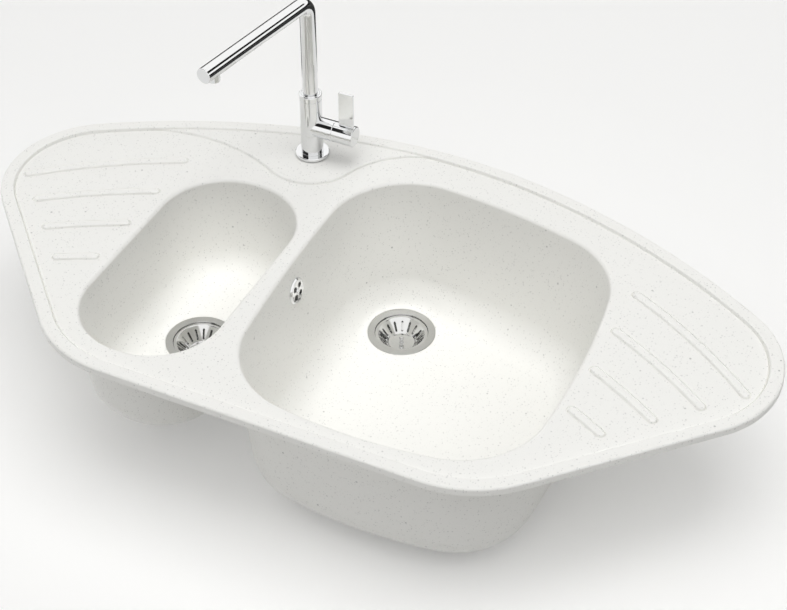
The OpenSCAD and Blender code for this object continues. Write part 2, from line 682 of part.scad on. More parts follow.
module waste_cup() color(brushed) turned([
    [cup_r + 0.5, flange_up], [flange_d / 2 - 0.8, flange_up], [flange_d / 2, flange_up - 0.7],
    [flange_d / 2, flange_up - flange_t], [cup_out_r, flange_up - flange_t],
    [cup_out_r, cup_floor - cup_wall], [outlet_r, cup_floor - cup_wall], [outlet_r, outlet_end],
    [outlet_bore_r, outlet_end], [outlet_bore_r, cup_floor], [cup_r - 9, cup_floor],
    [ledge_r, cup_floor + 9], [ledge_r, ledge_z], [cup_r, ledge_z], [cup_r, flange_up - 0.5]]);
module flange_gasket() color(dark_rubber)
    ring(waste_hole_r + 0.2, flange_d / 2 - 1, flange_seat, flange_seat + flange_gasket_t);
module lower_gasket() color(dark_rubber)
    ring(cup_out_r + gap, cup_out_r + 9, waste_under - lower_gasket_t, waste_under);
module locknut() color(plastic) difference() {
    ring(cup_out_r + 0.1, cup_out_r + 9.5, waste_under - lower_gasket_t - locknut_h,
        waste_under - lower_gasket_t);
    for (a = [0 : 60 : 300]) rotate([0, 0, a])
        translate([cup_out_r + 7, -5, waste_under - lower_gasket_t - locknut_h - 1])
            cube([5, 10, locknut_h - 1]);
}
// Rounding of a profile's corner q between p and s, with radius r
function bend(p, q, s, r) =
    let(u = (p - q) / norm(p - q), v = (s - q) / norm(s - q), half = acos(u * v) / 2,
        c = q + r / sin(half) * (u + v) / norm(u + v), reach = r / tan(half),
        a = bearing(q + reach * u - c), turn = (bearing(q + reach * v - c) - a + 540) % 360 - 180)
    [for (i = [0 : 4]) c + r * heading(a + turn * i / 4)];

slot_low = basket_low + 3 * basket_t + slot_w / 2;
slot_high = rim_up - 2 * basket_t - slot_w / 2;
slot_reach = cone_top_r - cone_low_r + 4;
basket_outside = [[0, basket_low], [cone_low_r, basket_low], [cone_top_r, rim_up], [cup_r - 0.4, rim_up]];
basket_inside = [[cup_r - 0.4, rim_up + basket_t], [cone_top_r - basket_t, rim_up + basket_t],
    [cone_low_r - 0.7 * basket_t, basket_low + basket_t], [0, basket_low + basket_t]];
module basket() color(chrome) difference() {
    turned(concat(
        [[0, basket_low - seal_t], [pin_r - 0.03, basket_low - seal_t], [pin_r - 0.03, basket_low]],
        bend(basket_outside[0], basket_outside[1], basket_outside[2], 1 + basket_t),
        bend(basket_outside[1], basket_outside[2], basket_outside[3], 1),
        [basket_outside[3], basket_inside[0]],
        bend(basket_inside[0], basket_inside[1], basket_inside[2], 1 + basket_t),
        bend(basket_inside[1], basket_inside[2], basket_inside[3], 1),
        [basket_inside[3]]));
    for (k = [0 : slot_count - 1]) rotate([0, 0, k * 360 / slot_count]) translate([cone_low_r - 2, 0, 0]) {
        translate([0, -slot_w / 2, slot_low]) cube([slot_reach, slot_w, slot_high - slot_low]);
        for (z = [slot_low, slot_high]) translate([0, 0, z]) rotate([0, 90, 0])
            cylinder(r = slot_w / 2, h = slot_reach, $fn = 24);
    }
}
knob_r = knob_d / 2;
knob_low = basket_low + basket_t;
module basket_knob() color(chrome) turned([
    [0, knob_low], [knob_r - 0.3, knob_low], [knob_r - 0.3, knob_low + 0.8],
    [knob_r - 1.3, knob_low + 0.2 * knob_h],
    [knob_r - 1.5, knob_low + 0.42 * knob_h], [knob_r, knob_low + 0.62 * knob_h],
    [knob_r, knob_low + knob_h - 1], [knob_r - 1, knob_low + knob_h], [0, knob_low + knob_h]]);
module stopper_seal() color(dark_rubber)
    ring(pin_r, outlet_bore_r + 1.6, basket_low - seal_t, basket_low);

// Overflow, measured from the wall's inner face: z into the bowl, x down the wall
hole_ring_r = 8.6;
duct_low = -wall_t - 1.2;
duct_t = 7.5;
duct_l = 50;
duct_half_w = 9;
spigot_r = 7;
spigot_bore_r = 5.2;
spigot_l = 18;         // how far the spigot stands out of the duct's end
spigot_z = duct_low - 10;
block_l = 10;
block_low = spigot_z - spigot_r - 1.5;
module along_spigot() translate([0, 0, spigot_z]) rotate([0, 90, 0]) children();
module overflow_rosette() color(chrome) difference() {
    turned([[0, 0], [rosette_d / 2, 0], [rosette_d / 2, 0.8], [rosette_d / 2 - 2.5, rosette_t],
        [0, rosette_t]]);
    for (a = [45 : 90 : 315]) rotate([0, 0, a]) translate([hole_ring_r, 0, 0]) rod(3.9, -1, rosette_t + 1);
    rod(2.1, -1, rosette_t + 1);
}
module overflow_screw() color(chrome) turned([[0, duct_low - duct_t],
    [2 - 2 * fit, duct_low - duct_t], [2 - 2 * fit, rosette_t],
    [3.6, rosette_t], [3, rosette_t + 1.4], [0, rosette_t + 1.8]]);
module overflow_gasket() color(dark_rubber)
    ring(rosette_d / 2 - 5, rosette_d / 2 - 1, duct_low - 1.5, duct_low);
module overflow_duct() color(plastic) difference() {
    union() {
        rod(rosette_d / 2 - 1, duct_low - 1.5 - duct_t, duct_low - 1.5);
        translate([0, -duct_half_w, duct_low - 1.5 - duct_t]) cube([duct_l, 2 * duct_half_w, duct_t]);
        translate([duct_l - block_l, -duct_half_w, block_low])
            cube([block_l, 2 * duct_half_w, duct_low - 1.5 - block_low]);
        along_spigot() rod(spigot_r, duct_l - 2, duct_l + spigot_l);
    }
    difference() {
        rod(rosette_d / 2 - 5, duct_low - duct_t, duct_low);
        rod(4.5, duct_low - duct_t - 1, duct_low - 2);
    }
    rod(2 - fit, duct_low - duct_t - 1, duct_low);
    translate([7, -spigot_r, duct_low - duct_t]) cube([duct_l - 9, 2 * spigot_r, duct_t - 3]);
    along_spigot() rod(spigot_bore_r, duct_l - 8, duct_l + spigot_l + 1);
}

place() sink_body();
place() big_bowl_shell();
place() small_bowl_shell();
place() at_tap() tap_base_ring();
place() at_tap() tap_base_gasket();
place() at_tap() tap_body();
place() at_tap() threaded_shank();
place() at_tap() clamp_gasket();
place() at_tap() clamp_washer();
place() at_tap() shank_nut();
place() at_tap() cartridge_housing();
place() at_tap() cartridge_rotor();
place() at_tap() pivot_pin();
place() at_tap() cartridge_stem();
place() at_tap() cartridge_nut();
place() at_tap() boss_cover();
place() at_tap() lever_cap();
place() at_tap() lever_blade();
place() at_tap() cap_screw();
place() at_tap() spout_insert();
place() at_tap() spout_ring_upper();
place() at_tap() spout_ring_lower();
place() at_tap() spout_collar();
place() at_tap() spout_tube();
place() at_tap() spout_end_cap();
place() at_tap() aerator_shell();
place() at_tap() aerator_insert();
place() at_big_waste() waste_cup();  // big_waste_cup
place() at_big_waste() flange_gasket();  // big_flange_gasket
place() at_big_waste() lower_gasket();  // big_lower_gasket
place() at_big_waste() locknut();  // big_locknut
place() at_big_waste() basket();  // big_basket
place() at_big_waste() basket_knob();  // big_basket_knob
place() at_big_waste() stopper_seal();  // big_stopper_seal
place() at_small_waste() waste_cup();  // small_waste_cup
place() at_small_waste() flange_gasket();  // small_flange_gasket
place() at_small_waste() lower_gasket();  // small_lower_gasket
place() at_small_waste() locknut();  // small_locknut
place() at_small_waste() basket();  // small_basket
place() at_small_waste() basket_knob();  // small_basket_knob
place() at_small_waste() stopper_seal();  // small_stopper_seal
place() at_overflow() overflow_rosette();
place() at_overflow() overflow_screw();
place() at_overflow() overflow_gasket();
place() at_overflow() overflow_duct();
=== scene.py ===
# %% [markdown]
# # Dressing a corner sink
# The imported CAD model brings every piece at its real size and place. This lesson
# gives it the looks: it models the pieces that show a second time with finer
# roundings, and paints everything with procedural materials. Sizes are in
# millimetres until a mesh is made.

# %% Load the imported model
import math

import bmesh
import bpy
import numpy as np
from mathutils import Matrix, Vector
from mathutils.geometry import delaunay_2d_cdt


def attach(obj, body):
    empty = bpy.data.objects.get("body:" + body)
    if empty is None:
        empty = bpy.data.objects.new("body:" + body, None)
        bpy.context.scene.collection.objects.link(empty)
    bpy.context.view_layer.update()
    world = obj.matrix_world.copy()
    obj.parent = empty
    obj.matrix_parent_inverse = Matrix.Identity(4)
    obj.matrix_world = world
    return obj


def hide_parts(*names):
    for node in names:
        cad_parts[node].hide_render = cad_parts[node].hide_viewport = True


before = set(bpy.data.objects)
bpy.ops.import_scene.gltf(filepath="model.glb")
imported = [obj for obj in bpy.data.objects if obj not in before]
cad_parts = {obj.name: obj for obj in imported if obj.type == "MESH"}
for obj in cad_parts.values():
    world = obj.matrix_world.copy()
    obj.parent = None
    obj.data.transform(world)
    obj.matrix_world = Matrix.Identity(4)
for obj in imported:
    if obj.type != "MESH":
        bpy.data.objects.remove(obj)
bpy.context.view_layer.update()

# %% [markdown]
# ## The outline
# A sink is drawn as a few large arcs joined by smaller ones. Points traced by hand
# would give wavy reflections, but arcs with known centres can be offset exactly,
# so each ring of the mesh follows its neighbour at a true distance.

# %% Arcs and rings
MM = 0.001
STRAIGHT = 100000.0                # radius that stands for a straight side
POINT_GAP, POINT_TURN = 9, 2       # most millimetres and degrees between points of a ring


def heading(angle):
    return np.array([math.cos(math.radians(angle)), math.sin(math.radians(angle))])


def bearing(vector):
    return math.degrees(math.atan2(vector[1], vector[0]))


def meet(p, q, a, b):
    """Point left of the line p to q, at distance a from p and b from q."""
    span = np.linalg.norm(q - p)
    way = (q - p) / span
    reach = (a * a - b * b + span * span) / (2 * span)
    aside = math.sqrt(max(0.0, a * a - reach * reach))
    return p + reach * way + aside * np.array([-way[1], way[0]])


def side_through(point, out, radius):
    """Centre and radius of a side that passes a point and faces the bearing out."""
    return np.array(point, float) - radius * heading(out), radius


def arcs_of(sides, corners):
    """Arcs (centre, radius, start, turn) of a closed outline with a rounding after each side."""
    pairs = list(zip(sides, sides[1:] + sides[:1], corners))
    mids = [meet(a, b, r - f, s - f) for (a, r), (b, s), f in pairs]
    arcs = []
    for k, ((a, r), (b, _), f) in enumerate(pairs):
        start, middle, end = (bearing(v) for v in (mids[k - 1] - a, mids[k] - a, mids[k] - b))
        arcs += [(a, r, start, (middle - start) % 360), (mids[k], f, middle, (end - middle) % 360)]
    return arcs


def ring(arcs, grow=0.0):
    """Points of an outline grown outwards, the same number at any growth."""
    points = []
    for centre, radius, start, turn in arcs:
        steps = max(2, math.ceil(math.radians(turn) * radius / POINT_GAP),
                    math.ceil(turn / POINT_TURN))
        angles = np.radians(start + turn * np.arange(steps) / steps)
        unit = np.column_stack([np.cos(angles), np.sin(angles)])
        points.append(centre + (radius + grow) * unit)
    return np.vstack(points)


# %% [markdown]
# The sizes below are those of the CAD source: a rim with a straight front, slanted
# sides and a bulging back, a big bowl of four curved sides and a small oblong one.

# %% Outlines of rim and bowls
sink_w, sink_d, front_w, side_angle = 1060, 565, 542, 45
tip_r, front_corner_r, back_inset = 129, 152, 14.3
shoulder_share = 1.233             # the back is flatter by this beside its middle
half_w = sink_w / 2
tip_centre = np.array([half_w - tip_r, half_w - tip_r - front_w / 2 + tip_r * math.sqrt(2)])
back_reach = sink_d - tip_centre[1]
back_r = ((tip_centre[0] ** 2 + back_reach ** 2 - (tip_r - back_inset) ** 2)
          / (2 * (back_reach - tip_r + back_inset)))
shoulder_r = shoulder_share * back_r
crown_centre = np.array([0.0, sink_d - back_r])
shoulder_centre = meet(tip_centre, crown_centre, shoulder_r - tip_r, shoulder_r - back_r)
MIRROR = np.array([-1.0, 1.0])
rim_arcs = arcs_of(
    [side_through([front_w / 2, 0], side_angle - 90, STRAIGHT), (shoulder_centre, shoulder_r),
     (shoulder_centre * MIRROR, shoulder_r),
     side_through([-front_w / 2, 0], 270 - side_angle, STRAIGHT),
     side_through([0, 0], 270, STRAIGHT)],
    [tip_r, back_r, tip_r, front_corner_r, front_corner_r])

big_left, big_left_r, big_corner_r = (-91.5, 350), 2255, 111   # the overflow is in this side
big_arcs = arcs_of(
    [side_through([304, 224], 0, 1097), side_through([-15, 497], 90, 873),
     side_through(big_left, 180, big_left_r), side_through([102, 36], 270, 633)],
    [big_corner_r] * 4)
small_mid, small_half_w, small_half_d = np.array([-206.5, 220.0]), 92, 176
small_end_r, small_corner_r = 186, 88
small_arcs = arcs_of(
    [side_through(small_mid + [small_half_w, 0], 0, STRAIGHT),
     side_through(small_mid + [0, small_half_d], 90, small_end_r),
     side_through(small_mid - [small_half_w, 0], 180, STRAIGHT),
     side_through(small_mid - [0, small_half_d], 270, small_end_r)],
    [small_corner_r] * 4)
print("points round rim, big bowl, small bowl:",
      [len(ring(a)) for a in (rim_arcs, big_arcs, small_arcs)])

# %% [markdown]
# ## The deck as one height field
# The deck carries a step, a raised platform round the tap and eight shallow
# ribs, whose edges run into each other. Booleans would leave hard creases there.
# Here the deck is a flat web of triangles that follows every edge, and one
# function lifts each of its points, so all the slopes flow together.

# %% Platform seen from above
rim_w, step_w, deck_z = 15, 4, -3.5
platform_rise, platform_slope = 1.8, 2.4
tap_plan = np.array([-172.0, 488.0])
nose_r, left_lobe_r, left_turn, right_turn = 66, 230, 241, 17
under_rim = 5                      # the right lobe runs on under the rim by this
nose_drop = math.sin(math.radians(right_turn))
right_lobe_r = ((sink_d - rim_w - step_w + under_rim - tap_plan[1] + nose_r * nose_drop)
                / (1 - nose_drop))
left_lobe = tap_plan + (nose_r + left_lobe_r) * heading(left_turn)
right_lobe = tap_plan + (nose_r + right_lobe_r) * heading(-right_turn)
lobe_end = bearing(left_lobe - shoulder_centre * MIRROR)
crown_turn = bearing((crown_centre - shoulder_centre) * MIRROR)


def arc(centre, radius, start, end, steps):
    angles = np.radians(np.linspace(start, end, steps))
    return centre + radius * np.column_stack([np.cos(angles), np.sin(angles)])


def platform_ring(inwards):
    """The platform's outline: two lobes and the nose in front, the back under the rim."""
    back_start = bearing(np.array([right_lobe[0], sink_d]) - crown_centre)
    return np.vstack([
        arc(left_lobe, left_lobe_r + inwards, lobe_end, left_turn - 180, 40)[:-1],
        arc(tap_plan, nose_r - inwards, left_turn, 360 - right_turn, 50)[:-1],
        arc(right_lobe, right_lobe_r + inwards, 180 - right_turn, 90, 30),
        arc(crown_centre, back_r - rim_w / 2, back_start, crown_turn, 30)[:-1],
        arc(shoulder_centre * MIRROR, shoulder_r - rim_w / 2, crown_turn, lobe_end + 0.3, 30)])


print("lobes' radii:", left_lobe_r, round(right_lobe_r, 2))

# %% Ribs seen from above
rib_r, rib_w, rib_h, rib_pitch = 752, 10.5, 1.8, 74
rib_first, rib_inner_x, rib_margin = 90.6, 317, 45


def rib_ring(number, inwards, side=1):
    """A rib is an arched slot with round ends. Side -1 is the left drainer."""
    half = rib_w / 2 - inwards
    centre = np.array([0, tip_centre[1] + rib_first - rib_pitch * number
                       - math.sqrt(rib_r ** 2 - rib_inner_x ** 2)])
    inner = math.degrees(math.acos((rib_inner_x + rib_w / 2) / rib_r))
    reach = (np.array([front_w / 2, 0]) - centre) @ heading(side_angle - 90) - rib_margin
    outer = side_angle - 90 + math.degrees(math.acos(reach / rib_r))
    points = np.vstack([
        arc(centre + rib_r * heading(outer), half, outer - 180, outer, 13)[:-1],
        arc(centre, rib_r + half, outer, inner, 20)[:-1],
        arc(centre + rib_r * heading(inner), half, inner, inner + 180, 13)[:-1],
        arc(centre, rib_r - half, inner, outer, 20)[:-1]])
    return points * [side, 1]


rib_places = [(number, side) for number in range(4) for side in (1, -1)]
print("ribs:", len(rib_places), "points on each:", len(rib_ring(0, 0)))


# %% [markdown]
# The height of a point follows from its distance to each edge, with a crisp foot
# and a soft brow. The fine line that a mould leaves along a foot is all that the
# eye sees of a rib, so it is a real groove in the mesh.

# %% Distances in the plan
def distance(points, loop):
    """Distance of each point to a closed loop."""
    start, way = loop, np.roll(loop, -1, axis=0) - loop
    best = np.full(len(points), 1e9)
    length = np.maximum((way ** 2).sum(1), 1e-12)
    for s, w, l in zip(start, way, length):
        t = np.clip((points - s) @ w / l, 0, 1)
        best = np.minimum(best, np.hypot(*(points - s - t[:, None] * w).T))
    return best


def within(points, loop):
    """True for each point inside a closed loop."""
    inside = np.zeros(len(points), bool)
    for (x0, y0), (x1, y1) in zip(loop, np.roll(loop, -1, axis=0)):
        if y0 != y1:
            crosses = (points[:, 1] > y0) != (points[:, 1] > y1)
            inside ^= crosses & (points[:, 0] < x0 + (x1 - x0) * (points[:, 1] - y0) / (y1 - y0))
    return inside


# %% Heights of the deck
RIB_SLOPE, STEP_FOOT, STEP_SLOPE = 2.2, rim_w + 2.8, 1.9
GROOVE_DEPTH, GROOVE_HALF = 2.2, 0.9
FELT_WITHIN = 5                    # past this distance an edge changes no height
rim_loop, platform_loop = ring(rim_arcs), platform_ring(0)
rib_loops = [rib_ring(number, 0, side) for number, side in rib_places]


def climb(t):
    """From a crisp foot up a steep side to a soft brow."""
    return 1 - (1 - np.clip(t, 0, 1)) ** 3


def groove(away):
    """The fine groove along a foot, by distance from it in millimetres."""
    return -GROOVE_DEPTH * np.clip(1 - np.abs(away - GROOVE_HALF) / GROOVE_HALF, 0, 1)


def deck_height(points):
    """Height of the deck, with platform, ribs and the step up to the rim."""
    height = np.full(len(points), float(deck_z))
    raised = [(platform_loop, platform_rise, platform_slope)]
    raised += [(loop, rib_h, RIB_SLOPE) for loop in rib_loops]
    for loop, rise, side in raised:
        half = np.abs(loop - loop.mean(0)).max()
        near = np.abs(points - loop.mean(0)).max(1) < half + FELT_WITHIN
        away, inside = distance(points[near], loop), within(points[near], loop)
        height[near] += np.where(inside, rise * climb(away / side), groove(away))
    from_rim = distance(points, rim_loop)
    height += groove(from_rim - STEP_FOOT)
    return height * (1 - climb((STEP_FOOT - from_rim) / STEP_SLOPE))


print("heights of deck and platform:", deck_height(np.array([[350.0, 250.0], tap_plan])))

# %% [markdown]
# ## Joining rings into a solid
# Everything round is made of rings of points, joined ring by ring, which is a
# loft. Flat areas between rings are filled by a constrained triangulation, which
# keeps every given edge. All parts of the sink share their border rings, so
# welding the doubles gives one closed skin.

# %% Lofts and fills
def flat(points, z):
    return np.column_stack([points, np.full(len(points), float(z))])


def circle(centre, radius, steps=96):
    angles = np.arange(steps) * 2 * np.pi / steps
    return np.asarray(centre) + radius * np.column_stack([np.cos(angles), np.sin(angles)])


class Skin:
    """Collects points and faces in millimetres."""

    def __init__(self):
        self.points, self.faces, self.count = [], [], 0

    def add(self, points, faces):
        self.points.append(np.asarray(points, float))
        self.faces += [[self.count + k for k in face] for face in faces]
        self.count += len(points)

    def loft(self, rings, closed=False):
        n, m = len(rings[0]), len(rings)
        faces = [(j * n + i, j * n + (i + 1) % n, (j + 1) % m * n + (i + 1) % n,
                  (j + 1) % m * n + i) for j in range(m if closed else m - 1) for i in range(n)]
        self.add(np.vstack(rings), faces)

    def fill(self, outer, holes, lines=(), height=None, z=0.0):
        """Triangles inside the outer loop and outside the holes."""
        loops = [outer, *holes, *lines]
        edges, start = [], 0
        for loop in loops:
            n = len(loop)
            edges += [(start + i, start + (i + 1) % n) for i in range(n)]
            start += n
        made = delaunay_2d_cdt([Vector(p) for p in np.vstack(loops)], edges, [], 0, 1e-6)
        points, faces = np.array([p[:] for p in made[0]]), np.array(made[2])
        middle = points[faces].mean(1)
        keep = within(middle, outer)
        for hole in holes:
            keep &= ~within(middle, hole)
        heights = height(points) if height else np.full(len(points), float(z))
        self.add(np.column_stack([points, heights]), faces[keep].tolist())

    def mesh(self, name, shift=(0, 0, 0)):
        bm = bmesh.new()
        for p in (np.vstack(self.points) + shift) * MM:
            bm.verts.new(p)
        bm.verts.ensure_lookup_table()
        for face in self.faces:
            bm.faces.new([bm.verts[k] for k in face])
        bmesh.ops.remove_doubles(bm, verts=bm.verts, dist=2e-6)
        loose = [v for v in bm.verts if not v.link_faces]
        bmesh.ops.delete(bm, geom=loose, context="VERTS")
        bmesh.ops.recalc_face_normals(bm, faces=bm.faces)
        mesh = bpy.data.meshes.new(name)
        bm.to_mesh(mesh)
        bm.free()
        return mesh


# %% [markdown]
# ### The bowls
# A cast bowl has slanting walls, so that it leaves the mould, and a wide round
# foot. Its profile is a list of growths and heights, with a ring of the outline
# laid at each. The outside is the same with the thickness added.

# %% Bowls
wall_t, floor_t, draft, edge_r = 9, 12, 6, 5
body_bottom = -14
draft_r = math.radians(draft)
slope = math.tan(draft_r)
flange_seat, recess_r, waste_hole_r = -2.7, 46.5, 39.2
FLAT_PAST, FLAT_FADE, FLAT_HIGH = 1.5, 24, 30      # of the flat floor round a drain


def bowl_foot(depth, r, thick=0, below=0):
    """Growth and height from the floor round the foot's curve to the wall."""
    start = -(depth - edge_r - r + r * math.sin(draft_r)) * slope - r * math.cos(draft_r)
    angles = np.radians(np.linspace(-90, -draft, 19))
    return [(start + (r + thick) * math.cos(a), deck_z - depth + r + (r + below) * math.sin(a))
            for a in angles]


def add_bowl(skin, arcs, depth, r, drain):
    """Inside and outside of one bowl. Gives the outer ring at the top."""
    inner = bowl_foot(depth, r)
    for a in np.radians(np.linspace(84, 0, 9)):
        inner.append((edge_r * (1 - math.sin(a)), deck_z - edge_r * (1 - math.cos(a))))
    floor_z = deck_z - depth
    rings = [flat(ring(arcs, g), z) for g, z in inner]
    for points in rings:
        # the floor stays flat round the drain, also where the foot's curve would begin
        away = np.linalg.norm(points[:, :2] - drain, axis=1)
        lifted = np.clip((away - recess_r - FLAT_PAST) / FLAT_FADE, 0, 1)
        low = np.clip(1 - (points[:, 2] - floor_z) / FLAT_HIGH, 0, 1)
        points[:, 2] -= (points[:, 2] - floor_z) * (1 - lifted * lifted * (3 - 2 * lifted)) * low
    skin.loft(rings)
    skin.fill(ring(arcs, inner[0][0]), [], z=floor_z)
    outer = bowl_foot(depth, r, wall_t, floor_t)
    skin.fill(ring(arcs, outer[0][0]), [], z=outer[0][1])
    outer.append((wall_t + (body_bottom + edge_r - deck_z) * slope, body_bottom))
    skin.loft([flat(ring(arcs, g), z) for g, z in outer])
    return ring(arcs, outer[-1][0])


bowls = {"big": (big_arcs, 190, 45, np.array([0.5, 405.0])),      # outline, depth, foot, drain
         "small": (small_arcs, 138, 38, small_mid + [0, 6])}
skin = Skin()
bowl_tops = [add_bowl(skin, *bowl) for bowl in bowls.values()]
print("points of both bowls:", skin.count)

# %% [markdown]
# ### Rim, deck and underside
# The rim is lofted and the deck is filled between rim, bowls and tap hole. A few
# lines close together along each slope make the triangles follow it.

# %% Rim, deck and underside
rim_h, rim_round, seat_w = 11, 3, 18
rim_inner = -rim_w + 1.5           # where the rim's top ends and the deck's fill begins
rim_profile = [(-seat_w, body_bottom), (-seat_w, -rim_h), (-0.8, -rim_h), (-0.25, -rim_h + 0.25),
               (0, -rim_h + 0.8)]
for a in np.radians(np.linspace(0, 90, 9)):
    rim_profile.append((rim_round * (math.cos(a) - 1), rim_round * (math.sin(a) - 1)))
rim_profile.append((rim_inner, 0))
skin.loft([flat(ring(rim_arcs, g), z) for g, z in rim_profile])

SIDE_STEPS = (0, 0.12, 0.25, 0.4, 0.65, 1)     # where the lines lie across a slope


def slope_lines(ring_at, width):
    """Rings in the groove at a foot and up its side, from a ring by its growth."""
    return [ring_at(g) for g in (-GROOVE_HALF, -2 * GROOVE_HALF, *(width * t for t in SIDE_STEPS))]


lines = slope_lines(lambda g: ring(rim_arcs, g - STEP_FOOT), STEP_SLOPE)
lines += slope_lines(platform_ring, platform_slope)
for number, side in rib_places:
    lines += slope_lines(lambda g: rib_ring(number, g, side), RIB_SLOPE)
tap_hole_r, pad_r, pad_bottom = 17.5, 31.5, -18
tap_hole, pad = circle(tap_plan, tap_hole_r), circle(tap_plan, pad_r)
skin.fill(ring(rim_arcs, rim_inner), [ring(big_arcs, edge_r), ring(small_arcs, edge_r), tap_hole],
          lines, height=deck_height)
platform_z = deck_z + platform_rise
skin.loft([flat(tap_hole, platform_z), flat(tap_hole, pad_bottom), flat(pad, pad_bottom),
           flat(pad, body_bottom)])
skin.fill(ring(rim_arcs, -seat_w), [*bowl_tops, pad], z=body_bottom)
TO_PART = (0, -seat_w / 2, rim_h)          # from the plan to the part's own frame
sink_mesh = skin.mesh("sink_shell", TO_PART)
print("sink skin:", len(sink_mesh.vertices), "points,", len(sink_mesh.polygons), "faces")

# %% [markdown]
# ## Pieces, bodies and finishes
# A piece is a mesh with its own place. It rides on one CAD body and hides the CAD
# nodes that it stands for. Shading is smooth with hard edges kept where the angle
# is sharp, and weighted normals keep large flat areas flat.

# %% From a mesh to a piece
def towards(turn, rise):
    """Direction at two angles in radians, from the part's x axis and from level."""
    return Vector((math.cos(turn) * math.cos(rise), math.sin(turn) * math.cos(rise),
                   math.sin(rise)))


def in_scene(name, data):
    made = bpy.data.objects.new(name, data)
    bpy.context.scene.collection.objects.link(made)
    return made


def new_piece(name, mesh, body, replaces=(), place=None, sharp=32):
    piece = in_scene(name, mesh)
    piece.matrix_world = place or Matrix.Identity(4)
    mesh.shade_smooth()
    mesh.set_sharp_from_angle(angle=math.radians(sharp))
    weighted = piece.modifiers.new("weighted", "WEIGHTED_NORMAL")
    weighted.keep_sharp, weighted.weight = True, 80
    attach(piece, body)
    if replaces:
        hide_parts(*replaces)
    return piece


def cut(mesh, tool, place=Matrix.Identity(4), operation="DIFFERENCE"):
    """A mesh with another, moved to its place, taken away from it or joined to it."""
    tool.transform(place)
    a, b = in_scene("work", mesh), in_scene("tool", tool)
    boolean = a.modifiers.new("boolean", "BOOLEAN")
    boolean.operation, boolean.object, boolean.solver = operation, b, "EXACT"
    shaped = a.evaluated_get(bpy.context.evaluated_depsgraph_get())
    made = bpy.data.meshes.new_from_object(shaped)
    for o in (a, b):
        bpy.data.objects.remove(o)
    made.name = mesh.name
    return made


def frame_at(origin, x=(1, 0, 0), y=(0, 1, 0), z=(0, 0, 1)):
    """Matrix with the given origin in millimetres and axes."""
    made = Matrix.Identity(4)
    for k, axis in enumerate((x, y, z)):
        made.col[k][:3] = axis
    made.col[3][:3] = [c * MM for c in origin]
    return made


# %% [markdown]
# ## Turned pieces
# Most of the tap and the wastes are turned on a lathe. The profile is a short
# list of corners, each with its own rounding, which catches the light on chrome.

# %% Profiles and lathe
BEND_STEP, MOST_OF_SIDE = 11, 0.48     # degrees per step, and share of a side a rounding may take


def rounded(corners):
    """Profile of (radius, height, rounding) corners, each rounding a short curve."""
    made = []
    for i, (r, z, f) in enumerate(corners):
        here = np.array([r, z], float)
        if not f or i in (0, len(corners) - 1):
            made.append(here)
            continue
        before, after = (np.array(corners[k][:2], float) - here for k in (i - 1, i + 1))
        long_u, long_v = np.linalg.norm(before), np.linalg.norm(after)
        u, v = before / long_u, after / long_v
        half = math.acos(max(-1, min(1, u @ v))) / 2
        t = min(f / math.tan(half), MOST_OF_SIDE * long_u, MOST_OF_SIDE * long_v)
        centre_way = (u + v) / np.linalg.norm(u + v)
        radius, centre = t * math.tan(half), here + centre_way * t / math.cos(half)
        a, b = here + u * t - centre, here + v * t - centre
        swing = math.acos(max(-1, min(1, a @ b / (radius * radius))))
        for s in np.linspace(0, 1, max(3, math.ceil(math.degrees(swing) / BEND_STEP))):
            w = (math.sin((1 - s) * swing) * a + math.sin(s * swing) * b) / math.sin(swing)
            made.append(centre + w)
    return made


def lathe(profile, steps=120, closed=False):
    """Skin of a profile of (radius, height) turned about the upright axis."""
    skin = Skin()
    skin.loft([flat(circle((0, 0), max(r, 0.0), steps), z) for r, z in profile], closed)
    return skin


def turned(name, corners, closed=False, steps=120):
    profile = rounded([c if len(c) == 3 else (*c, 0) for c in corners])
    return lathe(profile, steps, closed).mesh(name)


def plug(name, radius, low, high, steps=120):
    """A plain cylinder, which is used to cut or to join."""
    return turned(name, [(0, low), (radius, low), (radius, high), (0, high)], steps=steps)


tap_origin = (tap_plan[0], tap_plan[1] - seat_w / 2, platform_z + rim_h)
boss_z, boss_r, boss_end = 47, 14, 26
LYING = (0, 0, -1), (0, 1, 0), (1, 0, 0)       # axes that lay a turned piece along x
AT_TAP = frame_at(tap_origin)
AT_BOSS = frame_at((*tap_origin[:2], tap_origin[2] + boss_z), *LYING)
print("tap stands at", [round(c, 2) for c in tap_origin])

# %% [markdown]
# ### Holes of the sink
# The overflow's hole stands square to the slanting wall, and each drain has a
# stepped seat for the flange. Turned tools cut them, as a drill would.

# %% Place of the overflow
overflow_y, overflow_down = 272, 47
overflow_turn = math.asin((big_left[1] - overflow_y) / big_left_r)
wall_r = big_left_r - (overflow_down + deck_z - edge_r) * slope
wall_centre = side_through(big_left, 180, big_left_r)[0]
overflow_plan = wall_centre - wall_r * heading(math.degrees(overflow_turn))
into_bowl = towards(overflow_turn, draft_r)
down_wall = towards(overflow_turn, draft_r - math.pi / 2)
AT_OVERFLOW = frame_at((overflow_plan[0], overflow_plan[1] - seat_w / 2, -overflow_down + rim_h),
                       down_wall, into_bowl.cross(down_wall), into_bowl)
print("overflow in metres:", [round(c, 4) for c in AT_OVERFLOW.translation])

